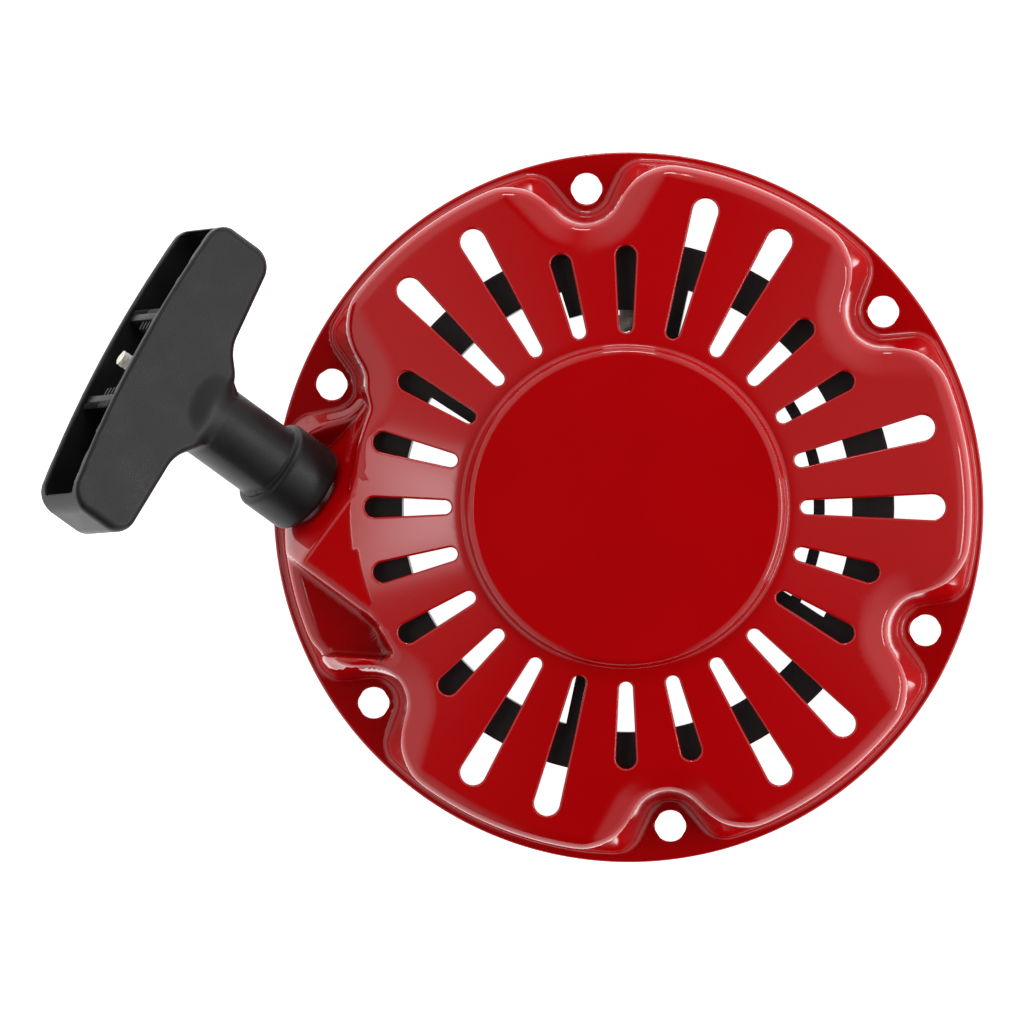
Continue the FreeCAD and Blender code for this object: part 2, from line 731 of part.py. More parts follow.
def ratchet(name, side):
    """A pawl on its pivot, with the peg that the guide's cam slot leads."""
    arm = new_body(name + "_arm")
    reach = s.ratchet_reach
    eye = s.ratchet_eye
    back, belly = s.ratchet_back, s.ratchet_belly
    neck = reach - 2 * s.ratchet_tip
    pad(arm, [(0, -belly), (neck, -belly, s.ratchet_bend), (reach, -s.ratchet_tip / 2, s.ratchet_edge),
              (reach, belly, s.ratchet_edge), (neck, back, s.ratchet_bend), (0, back)],
        s.ratchet_thickness)
    ring = cylinder(name + "_eye", eye, s.ratchet_thickness)
    peg_drop = ratchet_bottom - s.guide_disc_bottom
    peg = cylinder(name + "_peg", s.peg_radius, peg_drop + s.ratchet_thickness / 2)
    place(peg, (s.peg_reach, 0, -peg_drop))
    bore = cylinder(name + "_bore", s.pivot_radius + s.running_clearance,
                    s.ratchet_thickness + 2 * s.cut_margin, -s.cut_margin)
    spring_hole = cylinder(name + "_spring_hole", s.ratchet_wire / 2 + s.running_clearance,
                           s.spring_leg + s.cut_margin)
    place(spring_hole, (-spring_radius, 0, spring_bottom - ratchet_bottom - s.spring_leg
                        - s.running_clearance))
    item = cut(name, fuse(name + "_solid", [arm, ring, peg]), fuse(name + "_holes", [bore, spring_hole]))
    return on_pivot(item, side, ratchet_bottom, s.ratchet_rest)


def ratchet_spring(name, side):
    """Torsion spring in its well round the pivot: one leg in the ratchet, the other in the reel."""
    coils = []
    coil_pitch = s.ratchet_wire * s.coil_overlap
    for index in range(3):
        coil = document.addObject("Part::Torus", f"{name}_coil_{index + 1}")
        bind(coil, Radius1=spring_radius, Radius2=s.ratchet_wire / 2)
        place(coil, (0, 0, coil_pitch * index))
        coils.append(coil)
    down = cylinder(name + "_down", s.ratchet_wire / 2, s.spring_leg)
    place(down, (-spring_radius, 0, -s.spring_leg))
    up = cylinder(name + "_up", s.ratchet_wire / 2, s.spring_leg + s.ratchet_wire)
    place(up, (0, spring_radius, coil_pitch))
    item = fuse(name, coils + [down, up])
    return on_pivot(item, side, spring_bottom, s.ratchet_rest)


def cam_slot(side):
    """The path of a ratchet's peg across the guide, widened to the peg and its clearance."""
    pivot = Vector(s.pivot_circle.number, 0, 0)
    places = []
    for share in (0, 0.5, 1):
        heading = math.radians(s.ratchet_rest.number + share * s.ratchet_swing.number)
        peg = pivot + Vector(math.cos(heading), math.sin(heading), 0) * s.peg_reach.number
        turned = FreeCAD.Rotation(Z_AXIS, 180 * side - share * s.guide_turn.number)
        places.append(turned.multVec(peg))
    path = Part.Wire([Part.Arc(*places).toShape()])
    width = (s.peg_radius + s.moving_clearance).number
    loop = path.makeOffset2D(width, 0, False, False, True)
    solid = Part.Face(loop).extrude(Z_AXIS * (s.guide_disc + 2 * s.cut_margin).number)
    item = feature(f"cam_slot_{side + 1}", solid)
    return place(item, (0, 0, s.guide_disc_bottom - s.cut_margin))


def ratchet_guide():
    """Disc held by the setting screw; its two cam slots push the ratchets out."""
    disc = cylinder("guide_disc", s.guide_disc_radius, s.guide_disc, s.guide_disc_bottom)
    bore = cylinder("guide_bore", s.neck_radius + s.running_clearance, s.guide_disc + 2 * s.cut_margin,
                    s.guide_disc_bottom - s.cut_margin)
    return cut("ratchet_guide", disc, fuse("guide_tools", [bore, cam_slot(0), cam_slot(1)]))


# ---------------------------------------------------------------- the rope

def rope_turns():
    """The wound rope: a ring for each turn in the groove."""
    rings = []
    for layer in range(int(s.rope_layers.number)):
        for column in range(int(s.rope_columns.number)):
            ring = document.addObject("Part::Torus", f"rope_turn_{len(rings) + 1}")
            bind(ring, Radius1=s.reel_root + s.rope / 2 + s.rope_layer_pitch * layer,
                 Radius2=s.rope / 2)
            offset = s.rope_column_pitch * (column - (s.rope_columns - 1) / 2)
            rings.append(place(ring, (0, 0, groove_middle + offset)))
    return fuse("rope_turns", rings)


def knot(name, radius, tail):
    """A knot with the tail of rope that leads to it, standing on its own Z axis."""
    ball = document.addObject("Part::Sphere", name + "_ball")
    bind(ball, Radius=radius)
    stem = cylinder(name + "_tail", s.rope / 2, tail)
    return fuse(name, [ball, stem])


def rope_knot_reel():
    reach = s.knot_block_inner - s.reel_knot_radius
    item = knot("rope_knot_reel", s.reel_knot_radius, s.reel_root - reach)
    return place(item, (reach * cosine(s.knot_azimuth), reach * sine(s.knot_azimuth), groove_middle),
                 [(Z_AXIS, s.knot_azimuth), (Y_AXIS, 90)])


def rope_run():
    """Rope from the outer turn to the exit: a straight run, the bend in the eyelet, a short end."""
    azimuth = math.radians(s.exit_azimuth.number)
    tilt = math.radians(s.exit_tilt.number)
    exit_spot = Vector(*[size.number for size in from_exit_axes(s.exit_along, s.exit_across,
                                                                exit_height)])
    outward = Vector(math.cos(tilt) * math.cos(azimuth), math.cos(tilt) * math.sin(azimuth),
                     math.sin(tilt))
    corner = exit_spot - outward * s.sheet.number
    radius = outer_turn_radius.number
    flat = math.hypot(corner.x, corner.y)
    leave = math.atan2(corner.y, corner.x) + math.acos(radius / flat)
    start = Vector(radius * math.cos(leave), radius * math.sin(leave), groove_middle.number)
    end = exit_spot + outward * s.guide_rim.number
    inward = (corner - start).normalize()
    turn = inward.getAngle(outward)
    trim = s.rope_bend.number * math.tan(turn / 2)
    bend_start = corner - inward * trim
    bend_end = corner + outward * trim
    towards = (outward - inward * inward.dot(outward)).normalize()
    centre = bend_start + towards * s.rope_bend.number
    middle = centre + (corner - centre).normalize() * s.rope_bend.number
    edges = [Part.makeLine(start, bend_start), Part.Arc(bend_start, middle, bend_end).toShape()]
    if (end - bend_end).dot(outward) > 0:
        edges.append(Part.makeLine(bend_end, end))
    section = Part.Wire([Part.makeCircle(s.rope.number / 2, start, inward)])
    tube = Part.Wire(edges).makePipeShell([section], True, False)
    swept = feature("rope_run_whole", tube)
    place(swept)
    keep_off = cylinder("rope_run_keep_off", reel_radius + s.moving_clearance / 2,
                        s.case_height, 0)
    return cut("rope_run", swept, keep_off)


# ---------------------------------------------------------------- the pull handle

def handle():
    """T-shaped grip moulded in one piece, open at the back, with two ribs beside the knot."""
    bar = new_body("handle_bar")
    half = s.bar_length / 2
    root = s.handle_height - s.bar_end_depth - 2 * s.bar_crown
    end = root + half * tangent(s.bar_lean)
    top = s.handle_height - s.bar_crown
    shoulder = s.stem_radius
    sketch_corners = [(-shoulder, s.collar_length), (shoulder, s.collar_length),
                      (shoulder, root, s.stem_fillet), (half, end, s.bar_inner_corner),
                      (half, top, s.bar_outer_corner), (0, s.handle_height, s.bar_crown_bend),
                      (-half, top, s.bar_outer_corner), (-half, end, s.bar_inner_corner),
                      (-shoulder, root, s.stem_fillet)]
    pad(bar, sketch_corners, s.bar_thickness, 0, "YZ_Plane", True)
    stem = new_body("handle_stem")
    lip = s.collar_edge
    revolve(stem, [(0, 0), (s.collar_radius, 0, lip), (s.collar_radius, s.collar_length, lip),
                   (s.stem_radius, s.collar_length), (s.stem_radius, root + s.stem_fillet),
                   (0, root + s.stem_fillet)])
    stem_limit = cylinder("handle_stem_limit", s.stem_radius, root + s.stem_fillet)
    bar_limit = box("handle_bar_limit", s.bar_thickness, s.bar_length, s.handle_height)
    place(bar_limit, (-s.bar_thickness / 2, -half, root - s.stem_fillet))
    grip = common("handle_grip", [bar, fuse("handle_limits", [stem_limit, bar_limit])])
    pocket = box("handle_pocket", s.bar_thickness - 2 * s.handle_wall, s.bar_length - 2 * s.handle_wall,
                 s.handle_height)
    place(pocket, (s.handle_wall - s.bar_thickness / 2, s.handle_wall - half, s.handle_pocket_floor))
    hole = cylinder("handle_rope_hole", s.rope / 2 + s.rope_clearance, s.handle_height)
    hollow = cut("handle_hollow", fuse("handle_solid", [grip, stem]), fuse("handle_tools", [pocket, hole]))
    ribs = []
    for index, sign in enumerate((-1, 1)):
        rib = box(f"handle_rib_{index + 1}", s.bar_thickness - s.handle_wall, s.rib,
                  s.handle_height - s.rib_inset - s.handle_pocket_floor)
        ribs.append(place(rib, ((s.handle_wall - s.bar_thickness) / 2,
                                sign * s.rib_spacing / 2 - s.rib / 2, s.handle_pocket_floor)))
    item = fuse("handle", [hollow] + ribs)
    return place_at_exit(item, s.guide_rim + s.moving_clearance, s.handle_roll)


def rope_in_handle():
    item = cylinder("rope_in_handle", s.rope / 2, s.handle_pocket_floor)
    return place_at_exit(item, s.guide_rim + s.moving_clearance)


def rope_knot_handle():
    ball = document.addObject("Part::Sphere", "rope_knot_handle")
    bind(ball, Radius=s.handle_knot_radius)
    return place_at_exit(ball, s.guide_rim + s.moving_clearance + s.handle_pocket_floor
                         + s.handle_knot_radius)


# ---------------------------------------------------------------- build, check and write

NODES = [
    starter_case(),
    rope_guide(),
    centre_post(),
    setting_screw(),
    friction_spring(),
    mainspring(),
    reel(),
    ratchet("ratchet_a", 0),
    ratchet("ratchet_b", 1),
    ratchet_spring("ratchet_spring_a", 0),
    ratchet_spring("ratchet_spring_b", 1),
    ratchet_guide(),
    rope_turns(),
    rope_knot_reel(),
    rope_run(),
    rope_in_handle(),
    rope_knot_handle(),
    handle(),
]
document.recompute()

for item in document.Objects:
    if any(word in item.State for word in ("Invalid", "Error")):
        raise RuntimeError(f"{item.Name} failed: {item.State}")
for node in NODES:
    if node.Shape.isNull() or not node.Shape.isValid() or node.Shape.Volume <= 0:
        raise RuntimeError(f"{node.Label} has no valid shape")

os.makedirs("parts", exist_ok=True)
for node in NODES:
    node.Shape.exportStep(f"parts/{node.Label}.step")
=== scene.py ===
import json
import math

import bmesh
import bpy
import numpy as np
from mathutils import Matrix, Vector
from mathutils.geometry import delaunay_2d_cdt


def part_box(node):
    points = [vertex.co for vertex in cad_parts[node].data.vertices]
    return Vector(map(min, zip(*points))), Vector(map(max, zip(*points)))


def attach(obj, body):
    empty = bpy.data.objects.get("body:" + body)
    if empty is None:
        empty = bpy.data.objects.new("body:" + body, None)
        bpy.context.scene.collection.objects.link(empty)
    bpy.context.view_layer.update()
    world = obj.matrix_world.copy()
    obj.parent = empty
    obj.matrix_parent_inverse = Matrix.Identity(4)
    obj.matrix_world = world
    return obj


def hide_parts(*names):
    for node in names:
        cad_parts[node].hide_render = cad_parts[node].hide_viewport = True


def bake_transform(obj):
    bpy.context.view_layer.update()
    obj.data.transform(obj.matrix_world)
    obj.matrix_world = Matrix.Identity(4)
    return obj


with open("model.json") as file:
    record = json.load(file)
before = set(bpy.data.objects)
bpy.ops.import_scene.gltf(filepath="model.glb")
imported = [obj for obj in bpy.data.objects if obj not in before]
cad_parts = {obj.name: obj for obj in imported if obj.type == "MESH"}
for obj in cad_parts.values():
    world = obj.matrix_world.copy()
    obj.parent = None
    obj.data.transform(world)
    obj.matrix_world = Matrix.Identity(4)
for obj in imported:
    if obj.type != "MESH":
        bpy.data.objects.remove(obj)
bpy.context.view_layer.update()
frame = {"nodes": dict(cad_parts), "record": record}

MM = 0.001

# ---------------------------------------------------------------- sizes, in millimetres

case_low, case_high = (np.array(corner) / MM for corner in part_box("starter_case"))
mounts = {mount["name"]: mount for mount in frame["record"]["mounts"]}
joints = {joint["name"]: joint for joint in frame["record"]["behaviour"]["joints"]}

CASE_RADIUS = case_high[0]
CASE_HEIGHT = case_high[2]
SHEET = 1.2
HOLE_CIRCLE = mounts["engine_bolts"]["dims"]["pcd_mm"] / 2
HOLE_RADIUS = mounts["engine_bolts"]["dims"]["hole_r_mm"]
LUG_AZIMUTHS = [37.5 + 60 * index for index in range(6)]

# the face: a raised disc, a shallow cone and a rounded shoulder down to the skirt
PLATEAU_RISE = 2.6
PLATEAU_FOOT = 44.1
PLATEAU_STEEPNESS = 60.0
PLATEAU_BEND = 2.3
PLATEAU_FOOT_BEND = 1.2
FACE_SLOPE = 5.0
SKIRT_FOOT = 95.0
SKIRT_HEAD = 94.0
SHOULDER_BEND = 4.0
FOOT_BEND = 1.6

# a recess over each lug, and the shallow apron round it
RECESS_FOOT_RADIUS = 7.0
RECESS_FOOT_ANGLE = 31.6
RECESS_HEAD_RADIUS = 10.5
RECESS_HEAD_ANGLE = 37.0
RECESS_BEND = 2.2
CORNER_FOOT_BEND = 4.0
CORNER_HEAD_BEND = 9.0
APRON_WIDTH = 6.5
APRON_DROP = 1.5
APRON_CREASE = 1.6

# the rope exit: a snout with a sloping facet, and a lower step beside it
EXIT_AZIMUTH = 143.4
EXIT_TILT = 26.0
RIDGE_ALONG = 62.1
SNOUT_SIDE = 66.0
PLATFORM_HEIGHT = 16.5
WAIST_RADIUS = 75.0
WINDOW_FIRST = 157.5
STEP_END = np.array([-76.0, -40.6])
STEP_END_SLANT = -3.8
WINDOW_MARGIN = 6.0
WINDOW_FADE = 2.0
WINDOW_CORNER = 3.0
WALL_RUN = 0.8
RIDGE_BEND = 2.0
FACET_FOOT = 2.6
FACET_FOOT_BEND = 1.0
STEP_HEAD_BEND = 2.5
STEP_FOOT_BEND = 2.0
EXIT_SHOULDER_BEND = 3.0
LUG_RIM = 6.5
LUG_RIM_WIDTH = 1.5
LUG_RIM_FALL = 0.7
LUG_RIM_BEND = 1.0
EXIT_ALONG = 71.3
EXIT_ACROSS = 48.6
ROPE_HOLE = 6.6

# slots: long ones where the face is widest
SLOT_COUNT = 24
SLOT_START = 47.6
SLOT_LONG_END = 87.0
SLOT_SHORT_END = 71.3
SLOT_START_WIDTH = 3.7
SLOT_FLARE = 2.75
LONG_SLOTS = {0, 1, 4, 5, 8, 9, 16, 17, 20, 21}


def unit(azimuth):
    """The direction in the X-Y plane at an azimuth in degrees."""
    angle = math.radians(azimuth)
    return np.array([math.cos(angle), math.sin(angle)])


# ---------------------------------------------------------------- shapes as fields over x, y

def rise(distance, height, run, head_bend, foot_bend):
    """Height of a drafted wall at a distance inside its foot, with a bend at foot and head."""
    height = np.maximum(height, 1e-4)
    run = np.maximum(run, 0.3)
    steepness = np.arctan2(height, run)
    limit = 0.45 * height / (1 - np.cos(steepness) + 1e-9)
    head = np.minimum(head_bend, limit)
    foot = np.minimum(foot_bend, limit)
    head_reach = head * np.tan(steepness / 2)
    foot_reach = foot * np.tan(steepness / 2)
    wall = distance * np.tan(steepness)
    in_foot = distance + foot_reach
    low = foot - np.sqrt(np.maximum(foot ** 2 - in_foot ** 2, 0))
    to_head = run + head_reach - distance
    high = height - head + np.sqrt(np.maximum(head ** 2 - to_head ** 2, 0))
    z = np.where(distance < foot_reach * np.cos(steepness), low, wall)
    z = np.where(in_foot <= 0, 0, z)
    z = np.where(distance > run - head_reach * np.cos(steepness), high, z)
    return np.where(to_head <= 0, height, z)


def both(first, second, bend):
    """Distance inside two regions at once, their shared corner rounded."""
    outside = np.hypot(np.maximum(bend - first, 0), np.maximum(bend - second, 0))
    return np.maximum(bend, np.minimum(first, second)) - outside


def soft_min(first, second, width):
    """The lesser of two heights, the crease between them rounded over a width."""
    blend = np.clip(0.5 + (second - first) / (2 * width), 0, 1)
    return second + (first - second) * blend - width * blend * (1 - blend)


def soft_max(first, second, width):
    """The greater of two heights, the crease between them rounded over a width."""
    return -soft_min(-first, -second, width)


def outside_recess(x, y, azimuth, radius, angle):
    """Distance outside a recess: a wedge open outwards with a round inner end."""
    along = x * unit(azimuth)[0] + y * unit(azimuth)[1] - HOLE_CIRCLE
    across = np.abs(y * unit(azimuth)[0] - x * unit(azimuth)[1])
    slant = math.radians(angle)
    side = across * math.cos(slant) - along * math.sin(slant)
    on_round = along * math.cos(slant) + across * math.sin(slant) < 0
    return np.where(on_round, np.hypot(along, across), side) - radius


def outside_recesses(x, y, radius, angle, azimuths):
    """Distance outside the nearest of several recesses."""
    fields = [outside_recess(x, y, azimuth, radius, angle) for azimuth in azimuths]
    return np.minimum.reduce(fields)


def cone_face(radius):
    """Height of the face without its recesses."""
    cone = CASE_HEIGHT - PLATEAU_RISE - (radius - PLATEAU_FOOT) * math.tan(math.radians(FACE_SLOPE))
    base = soft_min(cone, CASE_HEIGHT - PLATEAU_RISE + 0 * radius, 0.3)
    run = PLATEAU_RISE / math.tan(math.radians(PLATEAU_STEEPNESS))
    return base + rise(PLATEAU_FOOT - radius, PLATEAU_RISE, run, PLATEAU_BEND, PLATEAU_FOOT_BEND)


def exit_axes(x, y):
    """Distance along the rope exit's direction, and across it."""
    ahead = unit(EXIT_AZIMUTH)
    return x * ahead[0] + y * ahead[1], y * ahead[0] - x * ahead[1]


def in_window(x, y, radius, waist):
    """Distance inside the part of the rim where the rope exit replaces the face."""
    first, last = unit(WINDOW_FIRST), unit(STEP_END_SLANT)
    past_first = y * first[0] - x * first[1]
    before_last = (y - STEP_END[1]) * last[0] - (x - STEP_END[0]) * last[1]
    inside = both(both(radius - waist, past_first, WINDOW_CORNER), before_last, WINDOW_CORNER)
    on_exit_side = -x - WAIST_RADIUS / 2
    return np.minimum(inside, on_exit_side)


def exit_level(x, y):
    """The rope exit's own surface: snout top, sloping facet and the step beside them."""
    along, across = exit_axes(x, y)
    top = float(cone_face(np.array(WAIST_RADIUS)))
    facet = top - (along - RIDGE_ALONG) / math.tan(math.radians(EXIT_TILT))
    snout = soft_min(top + 0 * along, facet, RIDGE_BEND)
    snout = soft_max(snout, FACET_FOOT + 0 * along, FACET_FOOT_BEND)
    wall = rise(SNOUT_SIDE + WALL_RUN / 2 - across, snout - PLATFORM_HEIGHT, WALL_RUN,
                STEP_HEAD_BEND, STEP_FOOT_BEND)
    return np.where(snout > PLATFORM_HEIGHT, PLATFORM_HEIGHT + wall, snout)


def outer_height(x, y):
    """Height of the case's outer surface, before its slots and holes."""
    radius = np.hypot(x, y)
    kept_foot = outside_recesses(x, y, RECESS_FOOT_RADIUS, RECESS_FOOT_ANGLE, LUG_AZIMUTHS)
    kept_head = outside_recesses(x, y, RECESS_HEAD_RADIUS, RECESS_HEAD_ANGLE, LUG_AZIMUTHS)
    foot = both(SKIRT_FOOT - radius, kept_foot, CORNER_FOOT_BEND)
    head = both(SKIRT_HEAD - radius, kept_head, CORNER_HEAD_BEND)
    past_rim = soft_max(kept_head - LUG_RIM_WIDTH, 0 * kept_head, LUG_RIM_BEND)
    level = soft_max(exit_level(x, y), LUG_RIM - LUG_RIM_FALL * past_rim, LUG_RIM_BEND) - SHEET
    low = rise(foot, level, foot - head, EXIT_SHOULDER_BEND, FOOT_BEND)
    window = in_window(x, y, radius, WAIST_RADIUS)
    share = np.clip((window + WINDOW_MARGIN) / WINDOW_FADE, 0, 1)
    low = low * share ** 2 * (3 - 2 * share) + SHEET
    face_foot = both(foot, -in_window(x, y, radius, WAIST_RADIUS + WALL_RUN), WINDOW_CORNER)
    face_head = both(head, -window, WINDOW_CORNER)
    ramp = soft_max(APRON_WIDTH - kept_head, 0 * kept_head, APRON_CREASE) / APRON_WIDTH
    face = cone_face(radius) - APRON_DROP * np.clip(ramp, 0, 2)
    by_skirt = np.clip(0.5 + (kept_head - (SKIRT_HEAD - radius)) / (2 * CORNER_HEAD_BEND), 0, 1)
    bend = RECESS_BEND + (SHOULDER_BEND - RECESS_BEND) * by_skirt
    return low + rise(face_foot, face - low, face_foot - face_head, bend, FOOT_BEND)


def outer_normal(x, y, step=0.01):
    """The outer surface's upward unit normal."""
    slope_x = (outer_height(x + step, y) - outer_height(x - step, y)) / (2 * step)
    slope_y = (outer_height(x, y + step) - outer_height(x, y - step)) / (2 * step)
    normal = np.stack([-slope_x, -slope_y, np.ones_like(x)], axis=-1)
    return normal / np.linalg.norm(normal, axis=-1, keepdims=True)


# ---------------------------------------------------------------- the case's mesh

# A sector holds one slot.  Its rays are closer together beside a lug or the rope exit.
PLAIN_STEPS = 12
FINE_STEPS = 26
SECTOR = 360 / SLOT_COUNT
SLOT_ZONE_START = 46.0
SLOT_ZONE_SHORT = 73.5
SLOT_ZONE_LONG = 90.2
DISC_STEPS = 22
SHORT_STEPS = 18
LONG_STEPS = 12
RIM_STEPS = 34
LIP = SHEET / 2
LIP_RINGS = [0.0, 0.03, 0.1, 0.2, 0.34, 0.5, LIP]
BETWEEN_RINGS = [0.12, 0.34, 0.64]
HOLE_STEPS = 40
ROPE_HOLE_STEPS = 48
FLAT_DENSITY = 0.5
BEND_DENSITY = 4
RIM_DENSITY = 3
NEAR_FADE = 0.18


def ray_azimuths():
    """The azimuth of each ray and the first ray of each sector."""
    azimuths, firsts = [], []
    for sector in range(SLOT_COUNT):
        steps = PLAIN_STEPS if sector in LONG_SLOTS else FINE_STEPS
        firsts.append(len(azimuths))
        azimuths += [SECTOR * (sector - 0.5 + step / steps) for step in range(steps)]
    return np.array(azimuths), firsts + [len(azimuths)]


def spread(density, low, high, count):
    """Stations between low and high, closer together where the density is high."""
    radii = np.linspace(low, high, density.shape[-1])
    total = np.cumsum(density, axis=-1)
    total = (total - total[:, :1]) / (total[:, -1:] - total[:, :1])
    shares = np.linspace(0, 1, count + 1)
    return np.stack([np.interp(shares, row, radii) for row in total])


def shape_density(directions, low, high, samples=900):
    """How much shape each ray crosses: arc length, more where the surface bends."""
    radii = np.linspace(low, high, samples)
    heights = outer_height(directions[:, :1] * radii, directions[:, 1:] * radii)
    slope = np.gradient(heights, radii, axis=1)
    bend = np.abs(np.gradient(slope, radii, axis=1)) / (1 + slope ** 2) ** 1.5
    density = (FLAT_DENSITY + BEND_DENSITY * np.minimum(bend, 1)) * np.sqrt(1 + slope ** 2)
    density += RIM_DENSITY * (radii > CASE_RADIUS - 1.5 * LIP)
    kernel = np.array([1, 2, 3, 2, 1]) / 9
    for axis in (0, 1, 1):
        edges = [(2, 2) if axis == side else (0, 0) for side in (0, 1)]
        padded = np.pad(density, edges, mode="wrap" if axis == 0 else "edge")
        density = sum(weight * np.take(padded, np.arange(density.shape[axis]) + shift, axis=axis)
                      for shift, weight in enumerate(kernel))
    return density


def ray_stations(azimuths, firsts):
    """Radius of each station on each ray, from the centre to the rim."""
    angles = np.radians(azimuths)
    directions = np.stack([np.cos(angles), np.sin(angles)], axis=1)
    flat_end = PLATEAU_FOOT - PLATEAU_RISE / math.tan(math.radians(PLATEAU_STEEPNESS)) - 2
    disc = np.concatenate([np.linspace(0, flat_end, 7)[:-1],
                           np.linspace(flat_end, SLOT_ZONE_START, DISC_STEPS - 5)])
    short = np.linspace(SLOT_ZONE_START, SLOT_ZONE_SHORT, SHORT_STEPS + 1)[1:]
    inner = np.tile(np.concatenate([disc, short]), (len(azimuths), 1))
    rim_steps = LONG_STEPS + RIM_STEPS
    free = spread(shape_density(directions, SLOT_ZONE_SHORT, CASE_RADIUS),
                  SLOT_ZONE_SHORT, CASE_RADIUS, rim_steps)
    fixed = np.tile(np.linspace(SLOT_ZONE_SHORT, SLOT_ZONE_LONG, LONG_STEPS + 1), (len(azimuths), 1))
    edge = spread(shape_density(directions, SLOT_ZONE_LONG, CASE_RADIUS),
                  SLOT_ZONE_LONG, CASE_RADIUS, RIM_STEPS)
    plain = np.concatenate([fixed, edge[:, 1:]], axis=1)
    nearness = np.zeros(len(azimuths))
    for sector in LONG_SLOTS:
        for ray in range(firsts[sector], firsts[sector + 1] + 1):
            nearness[ray % len(azimuths)] = 1
    for _ in range(5):
        nearby = np.maximum(np.roll(nearness, 1), np.roll(nearness, -1)) - NEAR_FADE
        nearness = np.maximum(nearness, nearby)
    share = nearness[:, None]
    rim = share * plain + (1 - share) * free
    return directions, np.concatenate([inner, rim[:, 1:]], axis=1)


class Sheet:
    """The middle of a pressed sheet as flat points and faces; lips round the edges over."""

    def __init__(self):
        self.points = []
        self.lips = []
        self.toward = []
        self.faces = []

    def add(self, point, lip=9.0, toward=(0.0, 0.0)):
        """A point, its distance from the nearest cut edge and the direction of that edge."""
        self.points.append(point)
        self.lips.append(lip)
        self.toward.append(toward)
        return len(self.points) - 1

    def strip(self, first, second):
        """Quads between two closed loops of the same length, the first one inside."""
        for index in range(len(first)):
            after = (index + 1) % len(first)
            self.faces.append((first[index], second[index], second[after], first[after]))

    def ring(self, spots, normals, offset):
        """A loop outside a cut edge by an offset; normals point away from the cut."""
        return [self.add(spot + normal * offset, offset, -normal)
                for spot, normal in zip(spots, normals)]


def slot_outline(end, arc_steps, side_shares):
    """Points and outward normals round a flared slot with round ends, along the X axis."""
    flare = math.radians(SLOT_FLARE)
    near = SLOT_START_WIDTH / 2
    near_at = SLOT_START + near
    far = (near + (end - near_at) * math.sin(flare)) / (1 + math.sin(flare))
    far_at = end - far
    turn = math.pi / 2 + flare
    spots, normals = [], []

    def put(centre, radius, angle):
        normal = np.array([math.cos(angle), math.sin(angle)])
        spots.append(np.array([centre, 0.0]) + normal * radius)
        normals.append(normal)

    for share in side_shares[:-1]:
        put(near_at + (far_at - near_at) * share, near + (far - near) * share, -turn)
    for step in range(arc_steps):
        put(far_at, far, -turn + 2 * turn * step / arc_steps)
    for share in side_shares[:0:-1]:
        put(near_at + (far_at - near_at) * share, near + (far - near) * share, turn)
    for step in range(arc_steps):
        put(near_at, near, turn + (2 * math.pi - 2 * turn) * step / arc_steps)
    return spots, normals


def mesh_slot(sheet, sector, rays, ids, stations):
    """Rings from the slot's rounded edge out to the sides of its sector."""
    long = sector in LONG_SLOTS
    start = DISC_STEPS
    end = DISC_STEPS + SHORT_STEPS + (LONG_STEPS if long else 0)
    first, last = rays[0], rays[-1]
    boundary = [ids[first, at] for at in range(start, end)]
    boundary += [ids[ray, end] for ray in rays[:-1]]
    boundary += [ids[last, at] for at in range(end, start, -1)]
    boundary += [ids[ray, start] for ray in rays[:0:-1]]
    radii = stations[first][start:end + 1]
    shares = (radii - radii[0]) / (radii[-1] - radii[0])
    spots, normals = slot_outline(SLOT_LONG_END if long else SLOT_SHORT_END, len(rays) - 1, shares)
    azimuth = math.radians(SECTOR * sector)
    turn = np.array([[math.cos(azimuth), math.sin(azimuth)], [-math.sin(azimuth), math.cos(azimuth)]])
    spots = [spot @ turn for spot in spots]
    normals = [normal @ turn for normal in normals]
    loops = [sheet.ring(spots, normals, offset) for offset in LIP_RINGS]
    edge = [sheet.points[index] for index in loops[-1]]
    for share in BETWEEN_RINGS:
        loops.append([sheet.add(near * (1 - share) + sheet.points[far] * share)
                      for near, far in zip(edge, boundary)])
    loops.append(boundary)
    for inner, outer in zip(loops, loops[1:]):
        sheet.strip(inner, outer)


